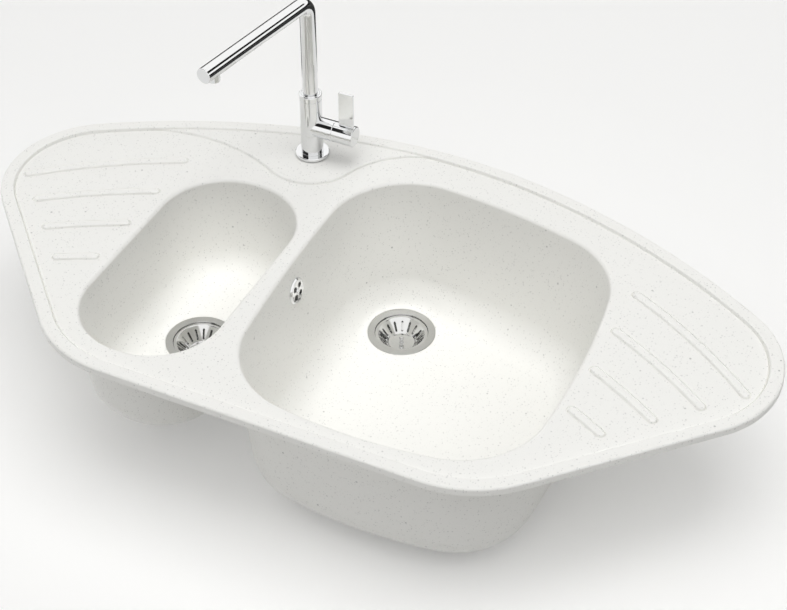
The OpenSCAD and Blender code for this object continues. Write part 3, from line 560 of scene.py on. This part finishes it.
# %% Sink shell with the holes of overflow and drains
hole_r = 13
sink_mesh = cut(sink_mesh, plug("overflow_hole", hole_r, -14, 2), AT_OVERFLOW)
waste_origins = {size: (drain[0], drain[1] - seat_w / 2, deck_z - depth + rim_h)
                 for size, (_, depth, _, drain) in bowls.items()}
for origin in waste_origins.values():
    seat = turned("drain_seat", [
        (0, -floor_t - 8), (waste_hole_r, -floor_t - 8), (waste_hole_r, flange_seat),
        (recess_r, flange_seat), (recess_r, 9), (0, 9)])
    sink_mesh = cut(sink_mesh, seat, Matrix.Translation(Vector(origin) * MM))
sink_shell = new_piece("sink_shell", sink_mesh, "sink",
                       ["sink_body", "big_bowl_shell", "small_bowl_shell"])
pad_mesh = turned("overflow_pad", [(hole_r, -10.2, 0), (17, -10.2, 0.4), (17, -4, 0),
                                   (hole_r, -4, 0)], closed=True)
overflow_pad = new_piece("overflow_pad", pad_mesh, "sink", place=AT_OVERFLOW)
print("sink shell after the cuts:", len(sink_shell.data.polygons), "faces")

# %% [markdown]
# ## The tap
# Everything here is chrome, and its form reads only through reflections. The body
# and its boss are one casting, so they are joined by a boolean and then bored out.

# %% Base ring, body and boss
base_gasket_t, base_h, base_r, body_r, body_h = 1.2, 4.5, 23, 15, 85
base_bore_r, body_bore_r, chamber_r = 12.3, 12, 11.5
body_low = base_gasket_t + base_h
body_top = body_low + body_h
base_ring = new_piece("base_ring", turned("base_ring", [
    (base_bore_r, base_gasket_t, 0), (base_r - 0.3, base_gasket_t, 0.3),
    (base_r, base_gasket_t + 0.6, 0.3), (base_r, body_low - 0.8, 0.8),
    (base_r - 0.9, body_low, 0.8), (base_bore_r, body_low, 0)], closed=True),
    "sink", ["tap_base_ring"], AT_TAP)
column = turned("tap_column", [(0, body_low), (body_r, body_low, 0.3), (body_r, body_top, 0.5),
                               (0, body_top)])
ALONG_BOSS = AT_TAP.inverted() @ AT_BOSS
column = cut(column, plug("boss", boss_r, 0, boss_end), ALONG_BOSS, "UNION")
column = cut(column, plug("chamber", chamber_r, -3, boss_end + 1), ALONG_BOSS)
for low, high in ((body_top - 25, body_top + 1), (body_low - 1, body_low + 14)):
    column = cut(column, plug("bore", body_bore_r, low, high))
tap_column = new_piece("tap_column", column, "sink", ["tap_body"], AT_TAP, sharp=14)
print("tap column:", len(column.polygons), "faces")

# %% [markdown]
# ### The lever
# The cap tilts about a pin hidden in the boss. So that the seam stays closed, the
# cover is a ball round that pin and the cap is hollowed to fit.

# %% Cover and cap
seam_x, cap_l, lip_t, ball_gap = 35.5, 29.5, 0.6, 0.3
most_tilt, stem_r = 25, 3.5
pivot_x = seam_x - 12
cavity_r = math.hypot(seam_x - pivot_x, boss_r - lip_t)
dome_r = cavity_r - ball_gap


def ball(radius, first_r, last_r, steps):
    """Profile on a sphere about the pivot, between two radii from the boss's axis."""
    angles = np.linspace(math.asin(first_r / radius), math.asin(last_r / radius), steps)
    return [(radius * math.sin(a), pivot_x + radius * math.cos(a)) for a in angles]


# the opening leaves room for the tilted stem
cover_bore = dome_r * math.sin(math.radians(most_tilt) + math.asin(stem_r / dome_r))
cover = [(cover_bore, boss_end), (boss_r, boss_end)] + ball(dome_r, boss_r, cover_bore, 14)
boss_cover = new_piece("boss_cover", lathe(cover, closed=True).mesh("boss_cover"),
                       "sink", ["boss_cover"], AT_BOSS)
cap = rounded([(boss_r - lip_t, seam_x, 0), (boss_r, seam_x, 0.15),
               (boss_r, seam_x + cap_l, 1.2), (0, seam_x + cap_l, 0)])
cap += ball(cavity_r, 0, boss_r - lip_t, 24)[:-1]
lever_cap = new_piece("lever_cap", lathe(cap, closed=True).mesh("lever_cap"),
                      "handle", ["lever_cap"], AT_BOSS)
print("cover's opening radius:", round(cover_bore, 2), "ball radius:", round(dome_r, 2))

# %% Blade
blade_w, blade_t, blade_root, blade_h = 21, 4, boss_r - 6, 65
blade_x = seam_x + cap_l - 2 - blade_w / 2
corner_r, edge_bevel = 1.2, 0.35
quarter = np.linspace(0, math.pi / 2, 6)
right = [(blade_w / 2, blade_root)]
right += [(blade_w / 2 - corner_r + corner_r * math.cos(a),
           blade_h - corner_r + corner_r * math.sin(a)) for a in quarter]
outline = [(-blade_w / 2, blade_root)] + right + [(-x, z) for x, z in right[:0:-1]]
bm = bmesh.new()
front = [bm.verts.new(((blade_x + x) * MM, -blade_t / 2 * MM, (boss_z + z) * MM))
         for x, z in outline]
grown = bmesh.ops.extrude_face_region(bm, geom=[bm.faces.new(front)])
bmesh.ops.translate(bm, vec=(0, blade_t * MM, 0),
                    verts=[v for v in grown["geom"] if isinstance(v, bmesh.types.BMVert)])
bmesh.ops.recalc_face_normals(bm, faces=bm.faces)
long_edges = [e for e in bm.edges if abs(e.verts[0].co.y - e.verts[1].co.y) < 1e-7]
bmesh.ops.bevel(bm, geom=long_edges, offset=edge_bevel * MM, segments=3, profile=0.5,
                affect="EDGES")
blade_mesh = bpy.data.meshes.new("lever_blade")
bm.to_mesh(blade_mesh)
bm.free()
lever_blade = new_piece("lever_blade", blade_mesh, "handle", ["lever_blade"], AT_TAP,
                        sharp=40)
print("blade stands", blade_h, "mm above the boss axis")

# %% [markdown]
# ## The spout
# The spout is one tube: up, round a tight bend and out. Sweeping a circle along
# that line gives clean reflections, where a curve object would twist at the bend.

# %% Collar and tube
spout_r, spout_bore_r, spout_z, reach, bend_r, yaw = 10.25, 9.0, 237, 204, 16, 10
SLIDE = 0.03                       # gap between pieces that are pushed together
collar_bore_r, collar_r = spout_r + SLIDE, 15.3
collar_low = body_top + 0.3
collar_top = collar_low + 8
spout_collar = new_piece("spout_collar", turned("spout_collar", [
    (collar_bore_r, collar_low, 0), (collar_r, collar_low, 0.4), (collar_r, collar_top, 1.2),
    (12.9, collar_top, 0.25), (12.3, collar_top - 0.9, 0.2), (11.7, collar_top, 0.25),
    (collar_bore_r, collar_top, 0)], closed=True),
    "spout", ["spout_collar"], AT_TAP)
AT_SPOUT = AT_TAP @ Matrix.Rotation(math.radians(270 - yaw), 4, "Z")
bend_z, tube_end = spout_z - bend_r, reach - 2
path = [((0, 0, z), 0) for z in (collar_low, collar_top, bend_z)]
path += [((bend_r - bend_r * math.cos(a), 0, bend_z + bend_r * math.sin(a)), a)
         for a in np.linspace(0, math.pi / 2, 25)[1:]]
path.append(((tube_end, 0, spout_z), math.pi / 2))


def tube_ring(centre, lean, radius):
    x, y = circle((0, 0), radius, 120).T
    return np.column_stack([centre[0] + x * math.cos(lean), centre[1] + y,
                            centre[2] - x * math.sin(lean)])


skin = Skin()
skin.loft([tube_ring(c, a, spout_r) for c, a in path]
          + [tube_ring(c, a, spout_bore_r) for c, a in path[::-1]], closed=True)
aerator_x, aerator_r, aerator_wall = reach - 19, 7.5, 1.3
tube_mesh = cut(skin.mesh("spout_tube"), plug("well", aerator_r + SLIDE, -14, -3),
                frame_at((aerator_x, 0, spout_z)))
spout_tube = new_piece("spout_tube", tube_mesh, "spout", ["spout_tube"], AT_SPOUT,
                       sharp=30)
print("spout reaches", reach, "mm at", spout_z, "mm above the platform")

# %% End cap and aerator
FORWARD = AT_SPOUT @ frame_at((0, 0, spout_z), *LYING)
end_cap = new_piece("spout_end_cap_face", turned("spout_end_cap_face", [
    (0, reach - 8), (spout_bore_r - SLIDE, reach - 8), (spout_bore_r - SLIDE, tube_end),
    (spout_r, tube_end, 0.12), (spout_r, reach, 0.7), (0, reach)]),
    "spout", ["spout_end_cap"], FORWARD)
aerator_low, aerator_top = spout_z - spout_r - 6, spout_z - 4
AT_AERATOR = AT_SPOUT @ frame_at((aerator_x, 0, 0))
aerator = new_piece("aerator_ring", turned("aerator_ring", [
    (aerator_r - aerator_wall, aerator_low, 0.3), (aerator_r, aerator_low, 0.5),
    (aerator_r, aerator_top, 0), (aerator_r - aerator_wall, aerator_top, 0)],
    closed=True, steps=96), "spout", ["aerator_shell"], AT_AERATOR)
print("aerator hangs to", aerator_low, "mm above the platform")

# %% [markdown]
# ## The strainer wastes
# Each waste is a deep cup with a broad flange, and a slotted basket hangs in it on
# a ledge. The basket's shoulder is a bend in the sheet, so it is well rounded.

# %% Cup and basket
cup_r, cup_wall, flange_r, flange_up, flange_t = 36.5, 2, 46, 0.4, 2.3
outlet_r, outlet_bore_r, outlet_l = 23.9, 23.9 - 3.4, 11
cup_floor = flange_up - 22
cup_under, outlet_low = cup_floor - cup_wall, cup_floor - cup_wall - outlet_l
ledge_z, ledge_r = flange_up - 3.4, cup_r - 2.4
cup_mesh = turned("waste_cup", [
    (cup_r, flange_up, 0.5), (flange_r, flange_up, 0.7), (flange_r, flange_up - flange_t, 0),
    (cup_r + cup_wall, flange_up - flange_t, 0), (cup_r + cup_wall, cup_under, 1.5),
    (outlet_r, cup_under, 0.8), (outlet_r, outlet_low, 0.5), (outlet_bore_r, outlet_low, 0.3),
    (outlet_bore_r, cup_floor, 1.2), (cup_r - 9, cup_floor, 6), (ledge_r, cup_floor + 9, 4),
    (ledge_r, ledge_z, 0.6), (cup_r, ledge_z, 0.6), (cup_r, flange_up - 0.1, 0)], closed=True)
rim_up, basket_t = ledge_z + 0.3, 1.2
basket_low = cup_floor + 0.3 + 1.5
cone_top_r, cone_low_r, rim_r, pin_r = ledge_r - 0.8, 18.5, cup_r - 0.4, 1.57
basket_mesh = turned("basket", [
    (0, basket_low - 1.5), (pin_r, basket_low - 1.5), (pin_r, basket_low),
    (cone_low_r, basket_low, 2.2), (cone_top_r, rim_up, 1.0), (rim_r, rim_up, 0.3),
    (rim_r, rim_up + basket_t, 0.4), (cone_top_r - basket_t, rim_up + basket_t, 2.0),
    (cone_low_r - 0.7 * basket_t, basket_low + basket_t, 1.4), (0, basket_low + basket_t)],
    steps=192)
print("cup and basket:", len(cup_mesh.polygons), "and", len(basket_mesh.polygons), "faces")

# %% Slots and knob
slot_w, slot_count = 3.0, 16
slot_low, slot_high = basket_low + 3.2, rim_up - 2.6
slot_r = slot_w / 2
half_turn = np.linspace(0, math.pi, 9)
shape = [(r * math.cos(a), z + r * math.sin(a)) for r, z in (
    (-slot_r, slot_low + slot_r), (slot_r, slot_high - slot_r)) for a in half_turn]
slots = Skin()
n = len(shape)
for k in range(slot_count):
    turn = 2 * math.pi * k / slot_count
    out = np.array([math.cos(turn), math.sin(turn), 0])
    aside = np.array([-math.sin(turn), math.cos(turn), 0])
    ends = [out * r + aside * s + [0, 0, z] for r in (15.0, 40.0) for s, z in shape]
    slots.add(ends, [tuple(range(n)), tuple(range(2 * n - 1, n - 1, -1))]
              + [(i, n + i, n + (i + 1) % n, (i + 1) % n) for i in range(n)])
basket_mesh = cut(basket_mesh, slots.mesh("slots"))
knob_low = basket_low + basket_t
knob_mesh = turned("knob", [(r, knob_low + z, f) for r, z, f in (
    (0, 0, 0), (3.0, 0, 0.3), (3.0, 0.8, 0.3), (2.0, 2.2, 0.8), (1.8, 4.6, 1.5),
    (3.3, 6.8, 1.0), (3.3, 11, 0.9), (0, 11, 0))], steps=64)
wastes = []
for size, origin in waste_origins.items():
    place, body = frame_at(origin), size + "_strainer"
    for mesh, part, rides, slot, node_name, sharp in (
            (cup_mesh, "_cup", "sink", "brushed_steel", "_waste_cup", 32),
            (basket_mesh, "_strainer_basket", body, "strainer_steel", "_basket", 40),
            (knob_mesh, "_strainer_knob", body, "strainer_steel", "_basket_knob", 32)):
        wastes.append(new_piece(size + part, mesh.copy(), rides, [size + node_name], place,
                                sharp))
print("waste pieces:", [w.name for w in wastes])

# %% [markdown]
# ### The overflow
# A round plate with four holes, held by one screw. It is small but stands alone
# on a pale wall, so its holes are real.

# %% Overflow rosette and its screw
rosette_r, rosette_t, drill_r, drill_ring = 18, 3, 3.9, 8.6
rosette_mesh = turned("rosette", [(0, 0), (rosette_r, 0, 0), (rosette_r, 0.9, 0.4),
                                  (rosette_r - 2.5, rosette_t, 1.2), (0, rosette_t)])
for k in range(4):
    drill = plug("drill", drill_r, -1, rosette_t + 1, steps=48)
    rosette_mesh = cut(rosette_mesh, drill, frame_at((*drill_ring * heading(45 + 90 * k), 0)))
rosette = new_piece("rosette", rosette_mesh, "sink", ["overflow_rosette"], AT_OVERFLOW)
screw = new_piece("rosette_screw", turned("rosette_screw", [
    (0, -17.7), (1.9, -17.7), (1.9, rosette_t), (3.6, rosette_t, 0.2), (3.0, rosette_t + 1.4, 0.6),
    (0, rosette_t + 1.8)], steps=64), "sink", ["overflow_screw"], AT_OVERFLOW)
print("rosette faces:", len(rosette_mesh.polygons))

# %% [markdown]
# ## Shared effects
# Three effects are used more than once, so each is a node group: grey specks, the
# faint marks of use, and the rings that turning leaves. A group only gives masks
# and heights, and each material decides what they do.

# %% Making nodes
def new_group(name, inputs, outputs):
    group = bpy.data.node_groups.new(name, "ShaderNodeTree")
    for way, labels in (("INPUT", inputs), ("OUTPUT", outputs)):
        for label in labels:
            group.interface.new_socket(label, in_out=way, socket_type="NodeSocketFloat")
    return group, group.nodes.new("NodeGroupInput"), group.nodes.new("NodeGroupOutput")


def node(tree, kind, inputs=(), **settings):
    """A node with its settings, its inputs linked to sockets or set to values."""
    made = tree.nodes.new("ShaderNode" + kind)
    for key, value in settings.items():
        setattr(made, key, value)
    for key, value in dict(inputs).items():
        if isinstance(value, bpy.types.NodeSocket):
            tree.links.new(value, made.inputs[key])
        else:
            made.inputs[key].default_value = value
    return made


def math_node(tree, operation, *values):
    return node(tree, "Math", dict(enumerate(values)), operation=operation).outputs[0]


# %% Node groups
specks, g_in, g_out = new_group("composite_specks", ["Spacing", "Size", "Share"], ["Mask"])
where = node(specks, "TexCoord").outputs["Object"]
scale = math_node(specks, "DIVIDE", 1.0, g_in.outputs["Spacing"])
cells = node(specks, "TexVoronoi", {"Vector": where, "Scale": scale}, feature="F1")
apart = math_node(specks, "MULTIPLY", cells.outputs["Distance"], g_in.outputs["Spacing"])
own = node(specks, "SeparateColor", {"Color": cells.outputs["Color"]})
radius = math_node(specks, "MULTIPLY", g_in.outputs["Size"],
                   math_node(specks, "ADD", own.outputs["Red"], 0.35))
ratio = math_node(specks, "DIVIDE", apart, radius)
disc = node(specks, "MapRange", {"Value": ratio, "From Min": 1.15, "From Max": 0.75})
chosen = math_node(specks, "LESS_THAN", own.outputs["Green"], g_in.outputs["Share"])
specks.links.new(math_node(specks, "MULTIPLY", disc.outputs[0], chosen), g_out.inputs["Mask"])

marks, g_in, g_out = new_group("use_marks", ["Scale"], ["Smudge", "Fine"])
where = node(marks, "TexCoord").outputs["Object"]
smudge = node(marks, "TexNoise", {"Vector": where, "Scale": g_in.outputs["Scale"], "Detail": 4.0})
fine = node(marks, "TexNoise", {
    "Vector": where, "Scale": math_node(marks, "MULTIPLY", g_in.outputs["Scale"], 30.0),
    "Detail": 2.0})
marks.links.new(smudge.outputs[0], g_out.inputs["Smudge"])
marks.links.new(fine.outputs[0], g_out.inputs["Fine"])

rings, g_in, g_out = new_group("turned_rings", ["Pitch"], ["Lines"])
where = node(rings, "SeparateXYZ", {"Vector": node(rings, "TexCoord").outputs["Object"]})
squares = [math_node(rings, "POWER", where.outputs[axis], 2.0) for axis in "XY"]
off_axis = math_node(rings, "SQRT", math_node(rings, "ADD", *squares))
along = math_node(rings, "ADD", off_axis, where.outputs["Z"])
turns = math_node(rings, "DIVIDE", along, g_in.outputs["Pitch"])
lines = node(rings, "TexNoise", {"W": turns, "Scale": 1.0, "Detail": 3.0},
             noise_dimensions="1D")
rings.links.new(lines.outputs[0], g_out.inputs["Lines"])
print("node groups:", [g.name for g in (specks, marks, rings)])


# %% [markdown]
# ### Building a material
# Each material is the standard shader, whose colour, roughness and relief are
# varied by masks. All the finishes share these helpers.

# %% Materials
def new_material(name, colour, metallic=0.0, rough=0.4):
    material = bpy.data.materials.new(name)
    material.use_nodes = True
    tree = material.node_tree
    shader = tree.nodes["Principled BSDF"]
    start = {"Base Color": (*colour, 1), "Metallic": metallic, "Roughness": rough}
    for label, value in start.items():
        shader.inputs[label].default_value = value
    return material, tree, shader


def grouped(tree, group, *values):
    """Outputs of a node group whose inputs have the values, in order."""
    made = tree.nodes.new("ShaderNodeGroup")
    made.node_tree = group
    for socket, value in zip(made.inputs, values):
        socket.default_value = value
    return made.outputs


def spread(tree, value, low, high):
    """A mask taken from 0..1 to low..high."""
    return node(tree, "MapRange", {"Value": value, "To Min": low, "To Max": high}).outputs[0]


def mix(tree, factor, a, b):
    """Colour a where the factor is 0 and colour b where it is 1."""
    made = node(tree, "Mix", {0: factor, 6: a, 7: b}, data_type="RGBA")
    return made.outputs[2]


def bump(tree, shader, height, distance_m):
    made = node(tree, "Bump", {"Height": height, "Distance": distance_m, "Strength": 1.0})
    tree.links.new(made.outputs["Normal"], shader.inputs["Normal"])


def paint(material, *pieces):
    for piece in pieces:
        piece.data.materials.clear()
        piece.data.materials.append(material)


# %% [markdown]
# ### Granite composite
# The sink is cast from quartz sand in resin: off-white, faintly warm and satin,
# with a fine grain and grey specks up to about two millimetres. The specks are
# discs in a cell pattern, and three sizes of them hide the pattern. The grain
# also drives a shallow bump.

# %% Composite
stone, tree, shader = new_material("granite_composite", (0.925, 0.922, 0.897), rough=0.42)
SPECKS = (                         # spacing and size in metres, share, strength, colour
    (0.02, 0.0012, 0.8, 0.6, (0.36, 0.36, 0.35, 1)),
    (0.0055, 0.00085, 0.75, 0.5, (0.5, 0.5, 0.485, 1)),
    (0.0028, 0.00065, 0.5, 0.7, (0.62, 0.62, 0.60, 1)))
grain = grouped(tree, marks, 26.0)
tint = mix(tree, grain["Fine"], (0.905, 0.901, 0.870, 1), (0.96, 0.956, 0.925, 1))
for spacing, size, share, strength, colour in reversed(SPECKS):
    mask = grouped(tree, specks, spacing, size, share)["Mask"]
    tint = mix(tree, math_node(tree, "MULTIPLY", mask, strength), tint, colour)
tree.links.new(tint, shader.inputs["Base Color"])
tree.links.new(spread(tree, grain["Smudge"], 0.36, 0.5), shader.inputs["Roughness"])
bump(tree, shader, grain["Fine"], 0.00006)
paint(stone, sink_shell, overflow_pad)
print("composite:", stone.name, "with specks in", len(SPECKS), "sizes")

# %% [markdown]
# ### Chrome and steel
# Chrome reflects about three quarters of the light and is almost a mirror, with
# faint smudges. The wastes are turned steel with fine rings, and the basket has a
# finer polish.

# %% Metals
def finish(name, dark, light, metallic, rough, depth_m, *masks):
    """A material whose colour, roughness and relief follow one mask, or a mask each.

    A mask is given as a node group, its output and the value of its input.
    """
    material, tree, shader = new_material(name, light, metallic, rough[1])
    made = [grouped(tree, group, value)[output] for group, output, value in masks]
    tint, roughness, relief = made if len(made) == 3 else made * 3
    tree.links.new(mix(tree, tint, (*dark, 1), (*light, 1)), shader.inputs["Base Color"])
    tree.links.new(spread(tree, roughness, *rough), shader.inputs["Roughness"])
    bump(tree, shader, relief, depth_m)
    return material


chrome = finish("chrome", (0.745, 0.75, 0.755), (0.78, 0.785, 0.79), 1.0, (0.02, 0.07), 0.0000015,
                *[(marks, "Smudge", 45.0)] * 2, (marks, "Fine", 45.0))
flange_steel = finish("flange_steel", (0.62, 0.62, 0.615), (0.71, 0.71, 0.70), 1.0, (0.10, 0.20),
                      0.000004, (rings, "Lines", 0.00035))
basket_steel = finish("basket_steel", (0.67, 0.67, 0.665), (0.74, 0.74, 0.735), 1.0, (0.05, 0.12),
                      0.000003, (marks, "Smudge", 90.0), *[(rings, "Lines", 0.0006)] * 2)
paint(chrome, base_ring, tap_column, boss_cover, lever_cap, lever_blade, spout_collar, spout_tube,
      end_cap, aerator, rosette, screw)
for piece in wastes:
    paint(flange_steel if piece.name.endswith("cup") else basket_steel, piece)
print("metals:", chrome.name, flange_steel.name, basket_steel.name)

# %% [markdown]
# ### Hidden fittings
# The pieces under the sink and inside the tap keep their CAD shapes, but get real
# finishes: brass with turning rings, plated steel, matt rubber, moulded plastic.

# %% Brass, steel, rubber and plastic
brass = finish("brass", (0.52, 0.37, 0.14), (0.68, 0.50, 0.22), 1.0, (0.22, 0.38), 0.00001,
               (rings, "Lines", 0.0009))
plated = finish("plated_steel", (0.46, 0.46, 0.45), (0.60, 0.60, 0.59), 1.0, (0.22, 0.40),
                0.000006, (marks, "Smudge", 120.0))
rubber = finish("rubber", (0.018, 0.018, 0.019), (0.035, 0.035, 0.037), 0.0, (0.55, 0.75),
                0.00004, (marks, "Smudge", 700.0))
moulded = finish("white_plastic", (0.74, 0.74, 0.71), (0.80, 0.80, 0.77), 0.0, (0.32, 0.46),
                 0.00003, (marks, "Smudge", 300.0))
finish_of = {
    brass: ["threaded_shank", "shank_nut", "cartridge_stem", "cartridge_nut", "spout_insert"],
    plated: ["clamp_washer", "pivot_pin", "cap_screw"],
    rubber: [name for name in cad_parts
             if name.endswith(("gasket", "seal", "_upper", "_lower"))],
    moulded: ["cartridge_housing", "cartridge_rotor", "aerator_insert", "overflow_duct",
              "big_locknut", "small_locknut"]}
for material, names in finish_of.items():
    paint(material, *[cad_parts[name] for name in names])
kept = sum(len(names) for names in finish_of.values())
print("CAD nodes kept:", kept, "of", len(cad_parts))

# %% [markdown]
# ## Studio
# Three large soft lamps and a low glow from behind on the left light the stone.
# Polished metal shows whatever stands round it, and in an empty white room it
# turns to plaster. So mirrors see a bright dome with dark cards, which give
# chrome its black bands, but no lamps.

# %% Floor
PAPER_GLOW = 0.24                  # of the floor, for the camera and for mirrors only
STAGE_Y, FLOOR_Z = 250, -228.5 + rim_h     # middle of the stage, and its floor


def stage_piece(name, skin, material):
    piece = in_scene(name, skin.mesh(name))
    piece.data.shade_smooth()
    paint(material, piece)
    return piece


def seen(tree):
    """1 for rays that show a background: to the camera, in a mirror or through glass."""
    rays = tree.nodes.new("ShaderNodeLightPath").outputs
    found = math_node(tree, "MAXIMUM", rays["Is Camera Ray"], rays["Is Glossy Ray"])
    return math_node(tree, "MAXIMUM", found, rays["Is Transmission Ray"])


paper, tree, shader = new_material("paper_sweep", (0.77, 0.768, 0.76), rough=0.9)
fibre = grouped(tree, marks, 8.0)["Fine"]
tree.links.new(mix(tree, fibre, (0.765, 0.763, 0.755, 1), (0.775, 0.773, 0.765, 1)),
               shader.inputs["Base Color"])
shader.inputs["Specular IOR Level"].default_value = 0.1
shader.inputs["Emission Color"].default_value = (1.0, 0.997, 0.985, 1)
tree.links.new(math_node(tree, "MULTIPLY", seen(tree), PAPER_GLOW),
               shader.inputs["Emission Strength"])
floor = Skin()
floor.loft([flat(circle((0, STAGE_Y), r, 96), FLOOR_Z) for r in (0, 400, 1500, 6000)])
stage_piece("floor", floor, paper)
print("floor at", FLOOR_Z, "mm in the part's frame")

# %% Dark cards for the mirrors
CARD_R, BEHIND = 5800, (298, 435)  # bearings run from straight back towards the right
card_black, *_ = new_material("black_card", (0.012, 0.012, 0.012), rough=0.9)


def mirror_card(name, rows):
    """A sheet of rows of points that is seen in mirrors only."""
    n = len(rows[0])
    made = Skin()
    made.add(np.vstack(rows), [(j * n + i, j * n + i + 1, (j + 1) * n + i + 1, (j + 1) * n + i)
                               for j in range(len(rows) - 1) for i in range(n - 1)])
    piece = stage_piece(name, made, card_black)
    piece.visible_camera = piece.visible_diffuse = piece.visible_shadow = False


def card(name, bearings, low_deg, high_deg):
    """Part of a sphere round the sink."""
    a = np.radians(np.linspace(*bearings, 49))
    heights = np.radians(np.linspace(low_deg, high_deg, 13))
    mirror_card(name, [np.column_stack([
        CARD_R * np.sin(a) * np.cos(e), STAGE_Y + CARD_R * np.cos(a) * np.cos(e),
        np.full(len(a), CARD_R * np.sin(e))]) for e in heights])


card("card_front", (200, 280), 35, 64)
card("card_right", (36, 84), 30, 62)
card("card_low", BEHIND, -2, 13)
a = np.radians(np.linspace(*BEHIND, 49))
mirror_card("dark_floor_behind", [
    flat(r * np.column_stack([np.sin(a), np.cos(a)]) + [0, STAGE_Y], FLOOR_Z + 2.5)
    for r in (800, CARD_R)])
print("dark cards:", card_black.users)

# %% Dome
LOW_GLOW, DOME_SEEN = 1.4, 1.2     # of the world, low behind the sink and as a mirror shows it
world = bpy.data.worlds.new("dome")
bpy.context.scene.world = world
world.use_nodes = True
tree = world.node_tree
sky = tree.nodes["Background"]
sky.inputs["Color"].default_value = (1.0, 0.998, 0.99, 1)
way = node(tree, "SeparateXYZ", {"Vector": node(tree, "TexCoord").outputs["Generated"]}).outputs
low = node(tree, "MapRange", {"Value": way["Z"], "From Min": 0.42, "From Max": 0.26}).outputs[0]
leftness = math_node(tree, "SUBTRACT", way["Y"], way["X"])
behind_left = node(tree, "MapRange", {"Value": leftness, "From Min": -0.2, "From Max": 0.4})
glow = math_node(tree, "MULTIPLY", math_node(tree, "MULTIPLY", low, behind_left.outputs[0]),
                 LOW_GLOW)
shown_or_lit = node(tree, "MapRange", {"Value": seen(tree), "To Min": glow, "To Max": DOME_SEEN})
tree.links.new(shown_or_lit.outputs[0], sky.inputs["Strength"])
print("dome:", world.name)


# %% Lamps
def lamp(name, bearing_deg, height_deg, watts, across=7.3, away=9.0):
    """A round soft lamp that faces the sink, with its distance and width in metres."""
    data = bpy.data.lights.new(name, "AREA")
    data.shape, data.size, data.energy = "DISK", across, watts
    made = in_scene(name, data)
    way = towards(math.radians(90 - bearing_deg), math.radians(height_deg))
    made.location = Vector((0, STAGE_Y * MM, 0)) + away * way
    made.rotation_euler = (-way).to_track_quat("-Z", "Y").to_euler()
    made.visible_camera = made.visible_glossy = False


lamp("above", 0, 90, 364)
lamp("in_front", 180, 60, 270)
lamp("at_right", 90, 57, 212)

# %% [markdown]
# ## Camera
# The picture was taken from some way off with a long lens. Place, aim and lens
# follow from where the outline of a sink of this size lies in it.

# %% Camera
camera_data = bpy.data.cameras.new("camera")
camera_data.lens, camera_data.sensor_width, camera_data.sensor_fit = 81.27, 36, "HORIZONTAL"
camera = in_scene("camera", camera_data)
camera.location = (0.75684, -1.22766, 1.44618)
aim = Vector((0.06075, 0.24319, 0.011)) - camera.location
camera.rotation_euler = aim.to_track_quat("-Z", "Y").to_euler()
bpy.context.scene.camera = camera
bpy.context.scene.view_settings.view_transform = "Standard"
print("camera is", round(aim.length, 3), "m from its aim")
